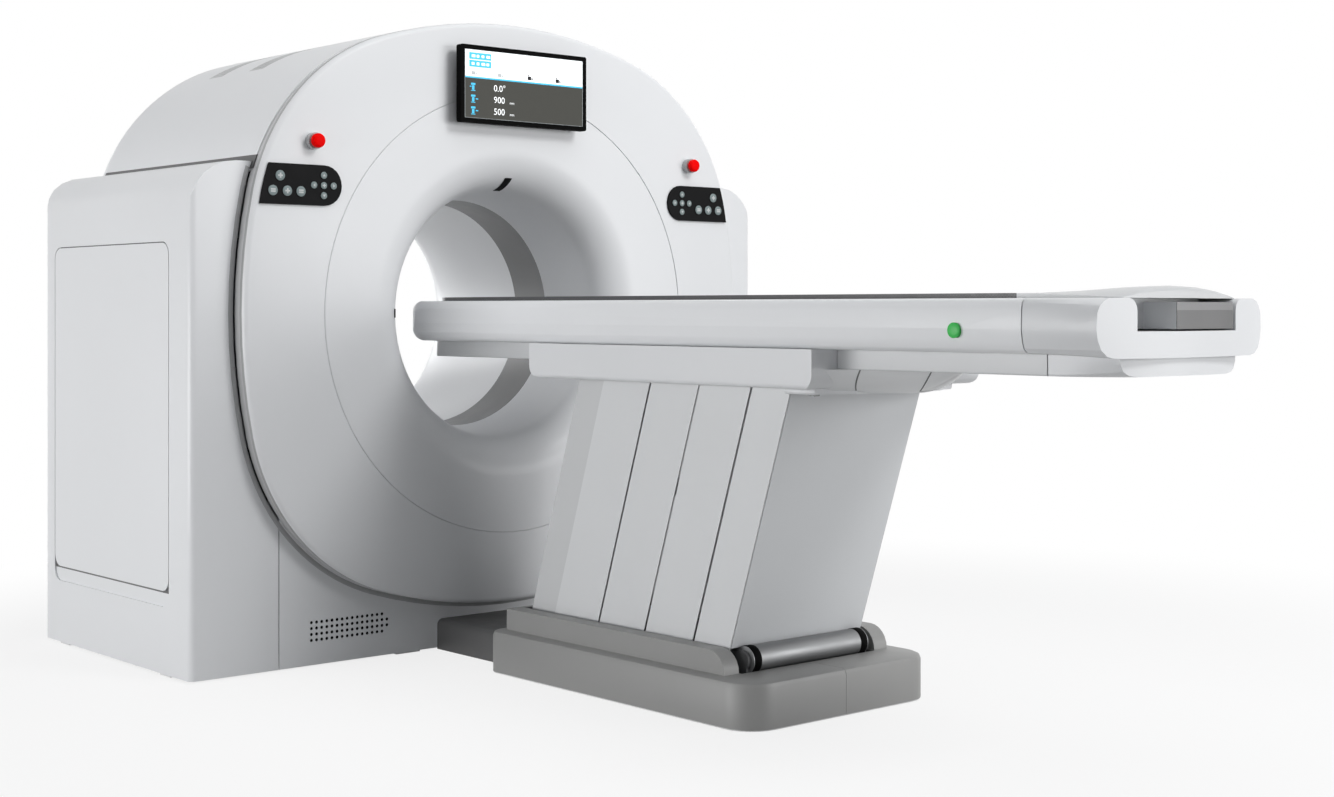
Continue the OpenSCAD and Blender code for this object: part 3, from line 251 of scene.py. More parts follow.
# Numbers after a colour: roughness, colour drift and its scale, grain and its scale, drift of the roughness
M = {
    "white": cover_paint("cover_white"),
    "drum": cover_paint("drum_white", [(SEAM_SHADE, [("Object", "Z", None, DRUM_SEAM)])]),
    "side": cover_paint("side_white", [(SEAM_SHADE, RIGHT_RECESS), (SEAM_SHADE, LEFT_RECESS)]),
    "base": cover_paint("base_white", [(VENT_SHADE_BLACK, VENT_WALLS)]),
    "grille": surface("grille_grey", (0.55, 0.555, 0.56), 0.45, 0.03, 3, 0.1, 700, specular=0.3),
    "face": cover_paint("face_white", [(TRIM_GREY, [("Object", "Y", FACE_EDGE, None)])]),
    # edge strip grey, partly trim colour and partly painted shade of the gap it fills
    "gap_grey_and_shade": surface("cover_gap_grey_and_shade", (0.42, 0.424, 0.43), 0.6, 0.05, 8, 0.1, 700, specular=0.2),
    # trim band grey, lighter than TRIM_GREY as painted light lifting the shade in its groove
    "trim": surface("trim_grey", (0.60, 0.603, 0.608), 0.4, 0.03, 2, 0.08, 700),
    "window": surface("window_film", (0.15, 0.152, 0.155), 0.36, 0.05, 6, 0.1, 600),
    "black": surface("gloss_black", (0.006, 0.006, 0.0065), 0.5, 0.1, 8, specular=0.06),
    "satin_black": surface("satin_black", (0.002, 0.002, 0.002), 0.6, 0.1, 8, 0.15, 900, specular=0.03),
    "red": surface("stop_red", (0.95, 0.002, 0.002), 0.5, 0.03, 20, 0.03, 900, specular=0.03),
    "frame": surface("frame_paint", (0.07, 0.072, 0.075), 0.5, 0.1, 5, 0.15, 500, dust=0.12, zones=[
        (STRIP_PALE, [("Object", "Z", None, STRIP_TOP)])]),
    "steel": brushed("ground_steel", (0.58, 0.58, 0.58), 0.28, (1, 30, 1)),
    "alloy": brushed("machined_alloy", (0.62, 0.63, 0.64), 0.34, (1, 24, 1)),
    "rubber": surface("belt_rubber", (0.018, 0.018, 0.018), 0.7, 0.15, 12, 0.3, 500),
    "brass": brushed("slip_brass", (0.66, 0.5, 0.24), 0.3, (1, 1, 20)),
    "box": surface("rotor_box", (0.2, 0.225, 0.25), 0.45, 0.06, 5, 0.2, 400),
    "duct": surface("duct_grey", (0.10, 0.10, 0.101), 0.5, 0.08, 5, 0.2, 500, dust=0.1),
    "plinth": surface("plinth_grey", (0.26, 0.26, 0.256), 0.42, 0.03, 3, 0.12, 600, dust=0.06),
    "guard": surface("guard_grey", (0.26, 0.26, 0.256), 0.42, 0.03, 3, 0.12, 600, dust=0.06),
    "lift": surface("lift_grey", (0.66, 0.67, 0.68), 0.42, 0.012, 2, 0.06, 700),
    # rear slat: the lift grey darkened as painted shade, as if recessed behind the others
    "lift_end": surface("rear_slat_shaded_grey", (0.57, 0.578, 0.586), 0.42, 0.012, 2, 0.06, 700),
    "panel": surface("end_panel", (0.72, 0.735, 0.75), 0.4, 0.01, 2, 0.03, 700, 0.015),
    "barrel": brushed("barrel_alloy", (0.22, 0.224, 0.228), 0.46, (1, 40, 40)),
    "tray": surface("tray_grey", (0.7, 0.71, 0.725), 0.38, 0.015, 2, 0.05, 700),
    "rail": surface("rail_grey", (0.60, 0.61, 0.62), 0.38, 0.015, 2, 0.05, 700),
    "boat": surface("boat_grey", (0.86, 0.87, 0.88), 0.36, 0.015, 2, 0.05, 700),
    "table": table_paint("table_white", (0.80, 0.81, 0.825)),
    "tail": table_paint("tail_white", (0.69, 0.70, 0.715)),
    "carbon": surface("cradle_carbon", (0.045, 0.045, 0.048), 0.38, 0.1, 10, 0.05, 900, weave=240),
    # tail cap grey, with painted light on its foot and painted shade and light on the pull block's front
    "hump": surface("cradle_tail_grey", (0.5, 0.51, 0.52), 0.34, 0.02, 3, 0.05, 700, coat=0.1, zones=[
        (HUMP_FOOT_LIT, [("Object", "Z", None, HUMP_FOOT)]),
        (PULL_DARK_SHADED, [("Object", "Y", None, PULL_Y)]),
        (PULL_LIT_BAND, [("Object", "Y", None, PULL_Y), ("Object", "Z", PULL_Z, None)])]),
    "green": surface("button_green", (0.045, 0.5, 0.09), 0.35, 0.05, 20, 0.03, 900, specular=0.3),
    # collar grey darkened as painted shade of its shadowed side
    "collar": surface("collar_grey_shaded", (0.42, 0.425, 0.43), 0.35, 0.03, 20, 0.05, 900),
    "seam": surface("seam_shade", (0.22, 0.22, 0.224), 0.6, 0.05, 20, 0.1, 700, specular=0.2),
    "vent_shade": surface("vent_dark_shade", VENT_SHADE_BLACK, 0.8, 0.2, 60, 0.4, 700, specular=0.1),
    "key": surface("key_grey", (0.22, 0.27, 0.272), 0.5, 0.06, 30, 0.1, 900, specular=0.2),
    "mark": surface("key_mark", (0.56, 0.58, 0.58), 0.5, 0.08, 30, 0.1, 900, specular=0.2),
}

LOOKS = {
    "face": ["front_cover"],
    "white": ["front_funnel", "rear_cover", "rear_funnel", "service_panels", "rear_base_cover"],
    "base": ["front_base_cover"],
    "grille": ["top_grilles"],
    "drum": ["top_cover"],
    "side": ["left_side_cover", "right_side_cover"],
    "trim": ["front_trim_band"],
    "window": ["bore_window"],
    "black": ["left_control_panel", "right_control_panel", "laser_windows"],
    "satin_black": ["display_housing"],
    "red": ["left_estop", "right_estop"],
    "collar": ["estop_collars"],
    "frame": ["gantry_base", "stator_frame", "table_floor_frame", "lift_carriage", "drive_motor",
              "brush_block"],
    "steel": ["bearing_outer_ring", "bearing_inner_ring", "motor_pulley"],
    "alloy": ["rotor_drum", "collimator", "tube_cooler", "xray_tube"],
    "rubber": ["drive_belt"],
    "brass": ["slip_ring"],
    "box": ["detector", "hv_tank"],
    "duct": ["link_duct"],
    "plinth": ["plinth_covers"],
    "guard": ["base_guard"],
    "lift": ["side_slats_1", "side_slats_2", "side_slats_3", "side_slats_4", "rear_lift_arm"],
    "lift_end": ["side_slats_5"],
    "panel": ["lift_end_panel"],
    "barrel": ["front_lift_arm"],
    "tray": ["carriage_tray"],
    "rail": ["table_rail"],
    "boat": ["carriage_tail_cover"],
    "table": ["table_top_frame"],
    "tail": ["table_tail_cover"],
    "carbon": ["cradle_board"],
    "hump": ["cradle_tail"],
    "green": ["release_button"],
}
for look, names in LOOKS.items():
    for name in names:
        slots = nodes[name].data.materials
        slots.clear()
        slots.append(M[look])


# Smooth shading of the moulded surfaces, sharp only at real corners

SMOOTH_LIMIT = 24
WELD = 0.00002


def angle_group():
    group = bpy.data.node_groups.new("smooth_%d" % SMOOTH_LIMIT, "GeometryNodeTree")
    group.interface.new_socket("Geometry", in_out="INPUT", socket_type="NodeSocketGeometry")
    group.interface.new_socket("Geometry", in_out="OUTPUT", socket_type="NodeSocketGeometry")
    start = group.nodes.new("NodeGroupInput")
    end = group.nodes.new("NodeGroupOutput")
    weld = group.nodes.new("GeometryNodeMergeByDistance")
    weld.inputs["Distance"].default_value = WELD
    angle = group.nodes.new("GeometryNodeInputMeshEdgeAngle")
    over = group.nodes.new("FunctionNodeCompare")
    over.data_type = "FLOAT"
    over.operation = "GREATER_THAN"
    over.inputs["B"].default_value = math.radians(SMOOTH_LIMIT)
    normal = group.nodes.new("GeometryNodeSetMeshNormal")
    normal.mode = "SHARPNESS"
    link = group.links.new
    link(start.outputs[0], weld.inputs["Geometry"])
    link(weld.outputs["Geometry"], normal.inputs["Mesh"])
    link(angle.outputs["Unsigned Angle"], over.inputs["A"])
    link(over.outputs["Result"], normal.inputs["Edge Sharpness"])
    link(normal.outputs["Mesh"], end.inputs[0])
    return group


SMOOTH = angle_group()
for obj in nodes.values():
    obj.modifiers.new("smooth", "NODES").node_group = SMOOTH


# Helpers for the pieces that scene.py adds

PIECE_SHARP = 30
CORNER_STEPS = 4
BEVEL_IN, BEVEL_BACK = 0.35, 0.3    # where the bevel's curve passes between its two edges


def piece(name, verts, faces, mats, body, face_mats=None, smooth=True):
    mesh = bpy.data.meshes.new(name)
    mesh.from_pydata(verts, [], faces)
    for mat in mats:
        mesh.materials.append(mat)
    if face_mats:
        mesh.polygons.foreach_set("material_index", face_mats)
    mesh.polygons.foreach_set("use_smooth", [smooth] * len(mesh.polygons))
    mesh.update()
    obj = bpy.data.objects.new(name, mesh)
    bpy.context.scene.collection.objects.link(obj)
    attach(obj, body)
    return obj


class Build:
    """Collects vertices and faces of one piece, each face with its material number."""

    def __init__(self):
        self.verts, self.faces, self.mats = [], [], []

    def add(self, verts, faces, mat=0):
        base = len(self.verts)
        self.verts += [tuple(v) for v in verts]
        self.faces += [tuple(base + i for i in f) for f in faces]
        self.mats += [mat] * len(faces)

    def loft(self, rows, mat=0):
        """Closed body through rows of equally many points, with a flat face at each end."""
        n, last = len(rows[0]), len(rows) - 1
        faces = [(k * n + i, k * n + (i + 1) % n, (k + 1) * n + (i + 1) % n, (k + 1) * n + i)
                 for k in range(last) for i in range(n)]
        faces += [tuple(range(n)), tuple(last * n + i for i in range(n))]
        self.add([point for row in rows for point in row], faces, mat)

    def plate(self, outline, y_front, y_back, mat=0, bevel=0.0):
        """Plate with a bevelled rim, from its outline of (x, z) as the front shows it."""
        cx = sum(p[0] for p in outline) / len(outline)
        cz = sum(p[1] for p in outline) / len(outline)
        rims = [(0.0, y_back), (0.0, y_front + bevel)]
        if bevel:
            rims += [(bevel * BEVEL_IN, y_front + bevel * BEVEL_BACK), (bevel, y_front)]
        rows = []
        for inset, y in rims:
            shrink = [max(0.0, 1 - inset / (math.hypot(x - cx, z - cz) or 1.0)) for x, z in outline]
            rows.append([(cx + (x - cx) * k, y, cz + (z - cz) * k) for (x, z), k in zip(outline, shrink)])
        self.loft(rows, mat)

    def turned(self, centre, axis, profile, steps, mat=0):
        """Profile of (radius, distance along the axis) turned about an axis through centre."""
        axis = Vector(axis).normalized()
        side = axis.orthogonal().normalized()
        other = axis.cross(side)
        turns = [2 * math.pi * i / steps for i in range(steps)]
        spokes = [side * math.cos(a) + other * math.sin(a) for a in turns]
        self.loft([[Vector(centre) + axis * d + spoke * r for spoke in spokes] for r, d in profile], mat)

    def done(self, name, mats, body, slot):
        obj = piece(name, self.verts, self.faces, mats, body, self.mats)
        bm = bmesh.new()
        bm.from_mesh(obj.data)
        bmesh.ops.recalc_face_normals(bm, faces=bm.faces)
        bm.to_mesh(obj.data)
        bm.free()
        obj.data.set_sharp_from_angle(angle=math.radians(PIECE_SHARP))
        return obj


def rect(x0, z0, x1, z1, r=0.0):
    """Outline of a rectangle, with round corners where r is given."""
    if not r:
        return [(x0, z0), (x1, z0), (x1, z1), (x0, z1)]
    corners = ((x0 + r, z0 + r, 180), (x1 - r, z0 + r, 270), (x1 - r, z1 - r, 0), (x0 + r, z1 - r, 90))
    turns = [(cx, cz, math.radians(start + 90 * i / CORNER_STEPS))
             for cx, cz, start in corners for i in range(CORNER_STEPS + 1)]
    return [(cx + r * math.cos(a), cz + r * math.sin(a)) for cx, cz, a in turns]


# Picture on the display, in shares of the screen's width and height from its upper left corner

SCREEN = [
    glowing("screen_white", (0.93, 0.95, 0.96), 0.62),
    glowing("screen_cyan", (0.07, 0.45, 0.68), 0.7),
    glowing("screen_dark", (0.05, 0.05, 0.044), 0.5),
    glowing("screen_grey", (0.45, 0.47, 0.48), 0.5),
    glowing("screen_ink", (0.015, 0.015, 0.016), 0.2),
]
WHITE, CYAN, DARK, MID, INK = range(len(SCREEN))
LAYER = 0.0002
screen_low, screen_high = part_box("display_screen")
GLASS = screen_low[1]


def on_screen(u, v):
    width, height = screen_high[0] - screen_low[0], screen_high[2] - screen_low[2]
    return screen_low[0] + width * u, screen_high[2] - height * v


art = Build()


def block(u0, v0, u1, v1, mat, layer=1, r=0.0):
    x0, z1 = on_screen(u0, v0)
    x1, z0 = on_screen(u1, v1)
    art.plate(rect(x0, z0, x1, z1, r), GLASS - LAYER * (layer + 1), GLASS - LAYER * layer, mat)


# White upper part, a line and the dark lower part
EDGE_U, EDGE_V, SPLIT, RULE = 0.004, 0.006, 0.395, 0.022
block(EDGE_U, EDGE_V, 1 - EDGE_U, SPLIT, WHITE)
block(EDGE_U, SPLIT, 1 - EDGE_U, SPLIT + RULE, CYAN)
block(EDGE_U, SPLIT + RULE, 1 - EDGE_U, 1 - EDGE_V, DARK)

# Two plain buttons with four dashes each
for row in range(2):
    top = 0.045 + 0.112 * row
    block(0.035, top, 0.215, top + 0.098, CYAN, 2, 0.002)
    for i in range(4):
        u = 0.055 + 0.04 * i
        block(u, top + 0.03, u + (0.022 if (i + row) % 3 else 0.03), top + 0.07, WHITE, 3, 0.001)

# Row of four small signs
for u, ink in ((0.055, MID), (0.27, MID), (0.52, INK), (0.76, INK)):
    block(u, 0.318, u + 0.03, 0.37, ink, 2, 0.0015)
    block(u + 0.004, 0.295, u + 0.014, 0.312, ink, 2, 0.001)
    block(u + 0.034, 0.335, u + 0.042, 0.37, ink, 2, 0.0008)

# A sign beside each of the three readings
READ_STEP = 0.172
for i in range(3):
    v = 0.49 + READ_STEP * i
    block(0.05, v, 0.085, v + 0.03, CYAN, 2, 0.001)
    block(0.058, v + 0.036, 0.077, v + 0.1, CYAN, 2, 0.001)
    if i:
        block(0.088, v + 0.05, 0.108, v + 0.066, CYAN, 2, 0.0008)
    else:
        block(0.04, v + 0.045, 0.054, v + 0.06, CYAN, 2, 0.0008)
    block(0.05, v + 0.106, 0.085, v + 0.116, CYAN, 2, 0.0006)
art.done("display_picture", SCREEN, "fixed_structure", "screen")

LETTER_CURVE, LETTER_THICK, LETTER_Y = 3, 0.0003, GLASS - 0.0009


def words(name, rows, mat, body):
    """Plain readings as flat letters: rows of (text, x, z, height)."""
    build = Build()
    for text, x, z, size in rows:
        curve = bpy.data.curves.new("letters", "FONT")
        curve.body = text
        curve.size = size
        curve.resolution_u = LETTER_CURVE
        temp = bpy.data.objects.new("letters", curve)
        bpy.context.scene.collection.objects.link(temp)
        bpy.context.view_layer.update()
        mesh = temp.evaluated_get(bpy.context.evaluated_depsgraph_get()).to_mesh()
        build.add([(x + v.co.x, LETTER_Y, z + v.co.y) for v in mesh.vertices],
                  [tuple(f.vertices) for f in mesh.polygons])
        temp.to_mesh_clear()
        bpy.data.objects.remove(temp)
        bpy.data.curves.remove(curve)
    obj = piece(name, build.verts, build.faces, [mat], body, smooth=False)
    obj.modifiers.new("thick", "SOLIDIFY").thickness = LETTER_THICK


READ_U, READ_V, UNIT_SHIFT, VALUE_SIZE, UNIT_SIZE = 0.235, 0.585, 0.058, 0.027, 0.011
readings = []
for i, (value, unit) in enumerate((("0.0\u00b0", ""), ("900", "mm"), ("500", "mm"))):
    x, z = on_screen(READ_U, READ_V + READ_STEP * i)
    readings.append((value, x, z, VALUE_SIZE))
    if unit:
        readings.append((unit, x + UNIT_SHIFT, z, UNIT_SIZE))
words("display_readings", readings, SCREEN[WHITE], "fixed_structure")


# Keys and their marks on the two control panels

KEY_Y = FACE_Y - 0.0085
KEY_DOME = [(1, 0.0), (1, 0.0006), (0.93, 0.0013), (0.7, 0.0017)]   # share of the radius, height
KEY_STEPS = 32
MARK_HALF, MARK_BAR, MARK_THICK = 0.5, 0.16, 0.0004
ARROW_FOOT, ARROW_TIP, BAR_SHIFT = 0.6, 0.8, 0.4
CROSS_FRONT, CROSS_BACK = 1.5, 0.2      # the second bar of a plus, in thicknesses
BIG_KEYS = [(-0.820, 1.319), (-0.776, 1.319), (-0.734, 1.319), (-0.798, 1.360)]
BIG_MARKS = ("bars", "plus", "bars", "plus")
CROSS_KEYS = [(-0.662 + dx, 1.338 + dz)
              for dx, dz in ((0, 0), (0.031, 0), (-0.031, 0), (0, 0.028), (0, -0.028))]
CROSS_MARKS = ("plus", "right", "left", "up", "down")


def mark(build, kind, x, z, r, y):
    a, b, t = r * MARK_HALF, r * MARK_BAR, MARK_THICK
    if kind in ("up", "down"):
        d = 1 if kind == "up" else -1
        foot, tip = z - d * a * ARROW_FOOT, z + d * a * ARROW_TIP
        build.plate([(x - a, foot), (x + a, foot), (x, tip)], y - t, y, 1)
    elif kind in ("left", "right"):
        d = 1 if kind == "right" else -1
        foot, tip = x - d * a * ARROW_FOOT, x + d * a * ARROW_TIP
        build.plate([(foot, z - a), (tip, z), (foot, z + a)], y - t, y, 1)
    elif kind == "bars":
        for dz in (-BAR_SHIFT, BAR_SHIFT):
            build.plate(rect(x - a, z + dz * a - b, x + a, z + dz * a + b), y - t, y, 1)
    else:
        build.plate(rect(x - a, z - b, x + a, z + b), y - t, y, 1)
        build.plate(rect(x - b, z - a, x + b, z + a), y - t * CROSS_FRONT, y - t * CROSS_BACK, 1)


for side, name in ((1, "left_keys"), (-1, "right_keys")):
    keys = Build()
    for places, r, kinds in ((BIG_KEYS, 0.0142, BIG_MARKS), (CROSS_KEYS, 0.0098, CROSS_MARKS)):
        for (x, z), kind in zip(places, kinds):
            keys.turned((x * side, KEY_Y, z), (0, -1, 0), [(r * k, d) for k, d in KEY_DOME], KEY_STEPS)
            mark(keys, kind, x * side, z, r, KEY_Y - KEY_DOME[-1][1])
    keys.done(name, [M["key"], M["mark"]], "fixed_structure", "black_gloss")


# Black end rings on the hinge barrel at the foot of the column

BARREL_X, BARREL_Y, BARREL_Z, BARREL_R = 0.1765, -1.595, 0.14, 0.034
RING_PROFILE = [(-0.002, 0), (0.0006, 0.0004), (0.001, 0.0016), (0.001, 0.0225), (-0.0006, 0.0255),
                (-0.003, 0.0262)]   # over the barrel's radius, distance along it
RING_STEPS = 64
rings = Build()
for s in (-1, 1):
    rings.turned((s * BARREL_X, BARREL_Y, BARREL_Z), (s, 0, 0),
                 [(BARREL_R + dr, d) for dr, d in RING_PROFILE], RING_STEPS)
rings.done("barrel_end_rings", [M["satin_black"]], "front_arm", "lift_grey")


# Round cap on the green release button

lo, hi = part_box("release_button")
BUTTON_R = (hi[2] - lo[2]) / 2
CAP_SEAT, CAP_STEPS = 0.0018, 40
CAP_PROFILE = [(BUTTON_R - 0.001, 0), (BUTTON_R + 0.0006, 0.0004), (BUTTON_R + 0.0006, 0.0016),
               (BUTTON_R - 0.001, 0.0026), (BUTTON_R * 0.6, 0.0036), (BUTTON_R * 0.2, 0.0039)]
cap = Build()
cap.turned((lo[0] + CAP_SEAT, (lo[1] + hi[1]) / 2, (lo[2] + hi[2]) / 2), (-1, 0, 0), CAP_PROFILE, CAP_STEPS)
cap.done("release_cap", [M["green"]], "release_button", "button_green")


# Grey edge strip on the side and base covers, along the outside of the trim band, filling the gap there; its
# grey is partly a trim colour, partly painted shade of the gap

SIDE_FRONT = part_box("left_side_cover")[0][1]
BAND_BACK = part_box("front_trim_band")[1][1] - 0.001
BAND_TOP = SIDE_TOP - 0.018
NEAR_TURN, RIM_ROOM, TURN_STEP = 0.06, 0.015, 0.002
GAP_STRIP_SECTION = [(0.0052, 0.002), (0.0052, 0.0), (0.0068, -0.0012), (0.0120, -0.0020), (0.0172, -0.0012),
          (0.0190, 0.0), (0.0190, 0.002)]   # section: out from the band, back from the cover's front
band = [v.co for v in nodes["front_trim_band"].data.vertices if v.co.y > BAND_BACK and v.co.z < BAND_TOP]
polar = sorted((math.atan2(v.x, ISO_Z - v.z), math.hypot(v.x, v.z - ISO_Z)) for v in band)
outer = []
for turn, radius in polar:
    widest = max(r for t, r in polar if abs(t - turn) < NEAR_TURN)
    if radius > widest - RIM_ROOM and (not outer or turn - outer[-1][0] > TURN_STEP):
        outer.append((turn, radius))
strip = Build()
strip.loft([[((r + d) * math.sin(t), SIDE_FRONT + y, ISO_Z - (r + d) * math.cos(t)) for d, y in GAP_STRIP_SECTION]
            for t, r in outer])
strip.done("cover_edge_strip", [M["gap_grey_and_shade"]], "fixed_structure", "grey_trim")


# Moulded lip below the end of the tray, with an arm along each side, open above the hull-shaped cover

TRAY_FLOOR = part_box("carriage_tray")[0][2]
hull_low, hull_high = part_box("carriage_tail_cover")
HULL_FRONT = hull_high[1]
LIP_NEAR = HULL_FRONT + 0.046
LIP_END = HULL_FRONT + 0.0005
LIP_WALL = 0.245    # points further out than this draw in towards the bottom
half_plan = [(0.12, LIP_NEAR), (0.238, LIP_NEAR), (0.238, LIP_NEAR + 0.09), (0.252, LIP_NEAR + 0.09),
             (0.259, LIP_NEAR + 0.085), (0.262, LIP_NEAR + 0.07), (0.260, LIP_NEAR + 0.02),
             (0.246, LIP_NEAR - 0.003), (0.20, LIP_NEAR - 0.014), (0.15, LIP_END), (0.12, LIP_END)]
plan = half_plan + [(-x, y) for x, y in reversed(half_plan)]
LIP_LEVELS = [(-0.0135, 0.975), (-0.0125, 0.98), (-0.009, 0.99), (-0.004, 0.99), (-0.0004, 1.0)]
lip = Build()
lip.loft([[(x * k if abs(x) > LIP_WALL else x, y, TRAY_FLOOR + dz) for x, y in plan] for dz, k in LIP_LEVELS])
lip.done("tray_end_lip", [M["tray"]], "carriage", "table_grey")


# Pointed hull-shaped cover behind the tray, in place of the CAD's blunter one

HULL_TOP, HULL_DEEP = hull_high[2], hull_high[2] - hull_low[2]
HULL_HALF, HULL_TIP, HULL_LENGTH = 0.252, 0.012, 0.195
HULL_SLANT, HULL_RAKE, KEEL_BACK = 0.94, 0.036, 0.02
HULL_ROUND, HULL_BEND, HULL_POWER = 0.09, 0.9, 0.45
HULL_SEAMS, SEAM_OUT, SEAM_IN, SEAM_DEEP = (0.26, 0.80), 0.006, 0.005, 0.0015
HULL_ROWS, SEAM_ROOM, BEND_STEPS, FLAT_STEPS = 40, 0.012, 10, 3


def hull_row(share, inset):
    """One slanted section of the hull, from the left edge over the keel to the right edge."""
    x = HULL_HALF * (1 - share) + HULL_TIP * share - inset
    y = HULL_FRONT - HULL_LENGTH * share
    furthest = LIP_NEAR - KEEL_BACK * share
    keel = min(y + HULL_SLANT * x, furthest)
    reach = math.hypot(x, keel - y)
    bend = min(HULL_ROUND, HULL_BEND * reach)
    depth = HULL_DEEP * (bend / HULL_ROUND) ** HULL_POWER - inset
    turns = [math.radians(90 * i / BEND_STEPS) for i in range(BEND_STEPS + 1)]
    path = [(bend * (1 - math.cos(a)), math.sin(a)) for a in turns]
    path += [(bend + (reach - bend) * i / FLAT_STEPS, 1.0) for i in range(1, FLAT_STEPS + 1)]
    left = [(-x * (1 - d / reach), min(y + (keel - y) * d / reach + HULL_RAKE * f, furthest),
             HULL_TOP - depth * f) for d, f in path]
    return left + [(-px, py, pz) for px, py, pz in reversed(left[:-1])]


sections = [(k / HULL_ROWS, 0) for k in range(HULL_ROWS + 1)
            if all(abs(k / HULL_ROWS - t) > SEAM_ROOM for t in HULL_SEAMS)]
for t in HULL_SEAMS:
    sections += [(t - SEAM_OUT, 0), (t - SEAM_IN, SEAM_DEEP), (t + SEAM_IN, SEAM_DEEP), (t + SEAM_OUT, 0)]
sections.sort()
rows = [hull_row(*section) for section in sections]
hull = Build()
hull.loft(rows)
n = len(rows[0])
for k, (section, following) in enumerate(zip(sections, sections[1:])):
    if section[1] or following[1]:
        hull.mats[k * n:(k + 1) * n] = [1] * n
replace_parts(hull.done("pointed_hull", [M["boat"], M["seam"]], "carriage", "table_grey"),
            "carriage_tail_cover")


# Table top with the nose rounded in profile too, in place of the CAD's

NOSE_FLAT, NOSE_CORNER, NOSE_BEND, NOSE_LOSS = 0.239, 0.061, 0.048, 0.55
NOSE_CUTS, CUT_FIRST, CUT_STEP, SAME_POINT = 24, 0.002, 0.005, 1e-6
frame_low, frame_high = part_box("table_top_frame")
NOSE_Y, NOSE_MID = frame_high[1], (frame_low[2] + frame_high[2]) / 2
bm = bmesh.new()
bm.from_mesh(nodes["table_top_frame"].data)
bmesh.ops.remove_doubles(bm, verts=bm.verts, dist=SAME_POINT)
for k in range(NOSE_CUTS):
    bmesh.ops.bisect_plane(bm, geom=bm.verts[:] + bm.edges[:] + bm.faces[:],
                           plane_co=(0, NOSE_Y - CUT_FIRST - CUT_STEP * k, 0), plane_no=(0, 1, 0))
for v in bm.verts:
    out = min(1.0, max(0.0, (abs(v.co.x) - NOSE_FLAT) / NOSE_CORNER))
    edge = NOSE_Y - NOSE_CORNER * (1 - math.sqrt(1 - out * out))
    t = min(1.0, max(0.0, (v.co.y - edge + NOSE_BEND) / NOSE_BEND))
    v.co.z = NOSE_MID + (v.co.z - NOSE_MID) * (1 - NOSE_LOSS * (1 - math.sqrt(1 - t * t)))
bm.verts.index_update()
top = Build()
top.add([tuple(v.co) for v in bm.verts], [tuple(v.index for v in f.verts) for f in bm.faces])
bm.free()
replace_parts(top.done("rounded_table_top", [M["table"]], "carriage", "table_grey"), "table_top_frame")


# Near-black sheet behind the vent holes of the base, standing in as painted shade for the inside of the base

SHEET_FRONT, SHEET_BACK, SHEET_CORNER, SHEET_BEVEL = BASE_BACK + 0.001, BASE_BACK + 0.007, 0.01, 0.002
shade_sheet = Build()
shade_sheet.plate(rect(VENT_X0, VENT_Z0, VENT_X1, VENT_Z1, SHEET_CORNER), SHEET_FRONT, SHEET_BACK,
                 bevel=SHEET_BEVEL)
shade_sheet.done("vent_shade_sheet", [M["vent_shade"]], "fixed_structure", "frame_paint")


# Camera fitted to the photograph, in pixels of its 1334 x 797 frame

PHOTO_WIDTH, PHOTO_HEIGHT = 1334, 797
FOCAL, HORIZON = 1884.2, 308.55
SENSOR = 36
cam_data = bpy.data.cameras.new("camera")
cam = bpy.data.objects.new("camera", cam_data)
bpy.context.scene.collection.objects.link(cam)
cam.location = (-3.379, -4.9288, 0.9984)
cam.rotation_euler = (math.radians(90), 0, math.radians(-41.25))
cam_data.sensor_width = SENSOR
cam_data.lens = FOCAL / PHOTO_WIDTH * SENSOR
cam_data.shift_y = -(PHOTO_HEIGHT / 2 - HORIZON) / PHOTO_WIDTH
bpy.context.scene.camera = cam


# Floor and world, both plain white where they are seen

FLOOR_HALF, FLOOR_Z = 60, -0.001
FLOOR_BOUNCE, FLOOR_SEEN = 0.36, 0.85   # grey for bounced light, and as it is seen
FLOOR_WHITE = 0.8                       # share of plain white beside the object
FADE_CENTRE, FADE_RANGE = (0, -1.1, 0), (1.6, 3.4)
WORLD_COLOUR, WORLD_LIGHT = (0.93, 0.96, 1.0, 1), 0.2
PLAIN_WHITE = (1, 1, 1, 1)


def seen_directly(tree):
    """1 for rays that show the backdrop: from the camera, in a mirror or through glass."""
    path = tree.nodes.new("ShaderNodeLightPath")
    total = path.outputs["Is Camera Ray"]
    for name in ("Is Glossy Ray", "Is Transmission Ray"):
        total = combine(tree, "MAXIMUM", total, path.outputs[name])
    return total


corners = [(-1, -1), (1, -1), (1, 1), (-1, 1)]
floor_mesh = bpy.data.meshes.new("floor")
floor_mesh.from_pydata([(FLOOR_HALF * x, FLOOR_HALF * y, 0) for x, y in corners], [], [(0, 1, 2, 3)])
floor = bpy.data.objects.new("floor", floor_mesh)
bpy.context.scene.collection.objects.link(floor)
floor.location.z = FLOOR_Z

floor_mat = bpy.data.materials.new("floor_pale")
floor_mat.use_nodes = True
tree = floor_mat.node_tree
floor_shader = tree.nodes["Principled BSDF"]
set_value(floor_shader, Roughness=0.8, Specular_IOR_Level=0.1)
seen = seen_directly(tree)
tint = tree.nodes.new("ShaderNodeMix")
tint.data_type = "RGBA"
tint.inputs["A"].default_value = (FLOOR_BOUNCE, FLOOR_BOUNCE, FLOOR_BOUNCE, 1)
tint.inputs["B"].default_value = (FLOOR_SEEN, FLOOR_SEEN, FLOOR_SEEN, 1)
tree.links.new(seen, tint.inputs["Factor"])
tree.links.new(tint.outputs["Result"], floor_shader.inputs["Base Color"])
white = tree.nodes.new("ShaderNodeEmission")
white.inputs["Color"].default_value = PLAIN_WHITE
white.inputs["Strength"].default_value = 1.0
place = tree.nodes.new("ShaderNodeNewGeometry")
away = tree.nodes.new("ShaderNodeVectorMath")
away.operation = "DISTANCE"
away.inputs[1].default_value = FADE_CENTRE
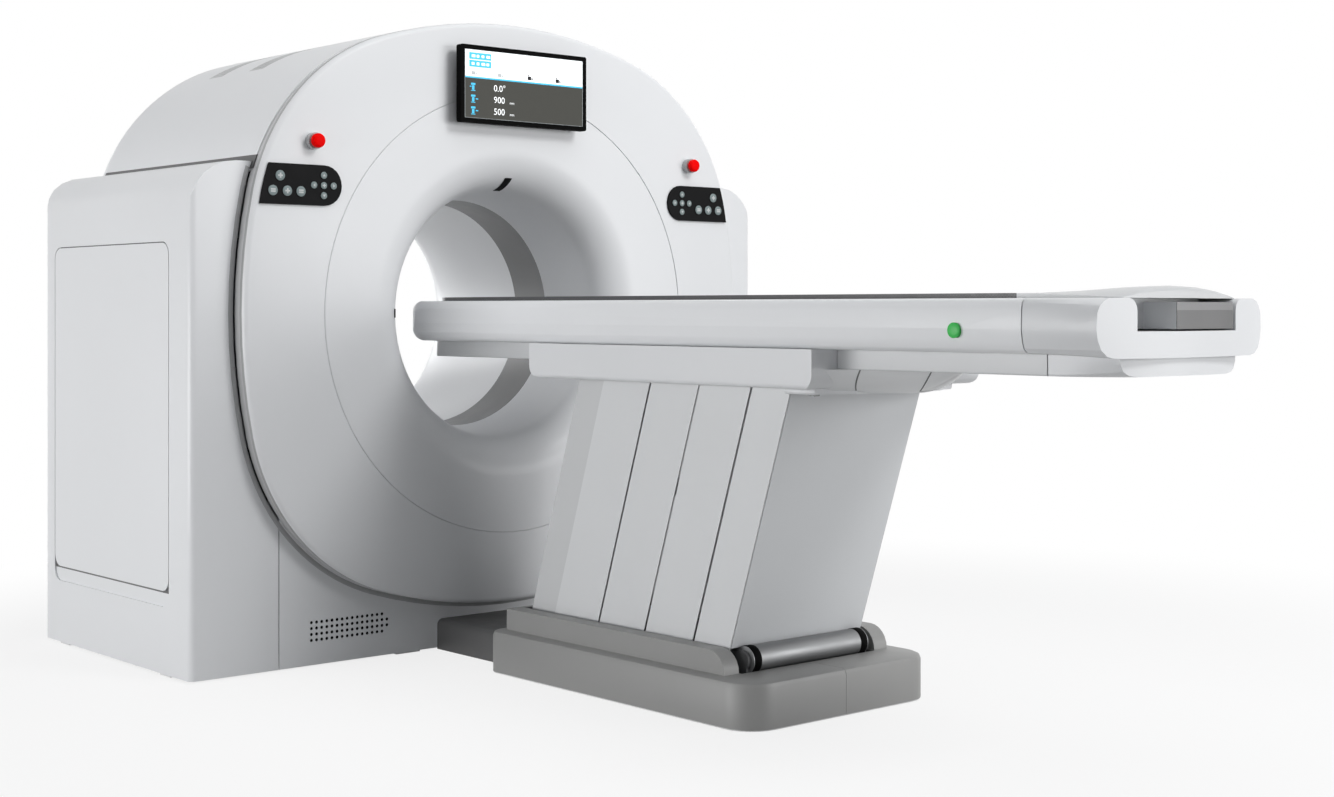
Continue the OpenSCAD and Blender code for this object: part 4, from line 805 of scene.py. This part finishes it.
tree.links.new(place.outputs["Position"], away.inputs[0])
fade = map_range(tree, away.outputs["Value"], FADE_RANGE, (FLOOR_WHITE, 1.0))
fade.interpolation_type = "SMOOTHSTEP"
share = combine(tree, "MULTIPLY", seen, fade.outputs["Result"])
mix_shaders(tree, share, floor_shader.outputs["BSDF"], white.outputs["Emission"], "Material Output")
floor_mesh.materials.append(floor_mat)

world = bpy.data.worlds.new("studio")
bpy.context.scene.world = world
world.use_nodes = True
tree = world.node_tree
back = tree.nodes["Background"]
back.inputs["Color"].default_value = WORLD_COLOUR
back.inputs["Strength"].default_value = WORLD_LIGHT
plain = tree.nodes.new("ShaderNodeBackground")
plain.inputs["Color"].default_value = PLAIN_WHITE
plain.inputs["Strength"].default_value = 1.0
mix_shaders(tree, seen_directly(tree), back.outputs["Background"], plain.outputs["Background"], "World Output")


# Lamps: name, place, target, size, power in watts, spread in degrees

LAMPS = [
    ("overhead", (0.2, -1.8, 4.8), (0, -0.9, 0.4), (4.5, 4.5), 62, 180),
    ("side", (-6.5, 1.2, 0.8), (-0.9, 0.2, 0.8), (3.5, 1.4), 180, 180),
    ("high_key", (1.4, -5.5, 4.6), (0, -0.5, 1.0), (2.0, 1.6), 138, 180),
    ("right_key", (3.3, -7.0, 1.6), (0, -0.8, 0.9), (4.0, 2.4), 165, 180),
    ("fill", (-6.3, -2.2, 0.9), (0, -1.8, 0.6), (2.5, 1.6), 5, 50),
    ("behind", (-0.35, 2.3, 1.3), (0.35, 0.0, 1.0), (0.9, 1.2), 3.6, 50),
]
for name, place, target, size, power, spread in LAMPS:
    data = bpy.data.lights.new(name, "AREA")
    data.shape = "RECTANGLE"
    data.size, data.size_y = size
    data.energy = power
    data.spread = math.radians(spread)
    lamp = bpy.data.objects.new(name, data)
    bpy.context.scene.collection.objects.link(lamp)
    lamp.location = place
    lamp.rotation_euler = (Vector(target) - Vector(place)).to_track_quat("-Z", "Y").to_euler()

bpy.context.scene.view_settings.view_transform = "Standard"
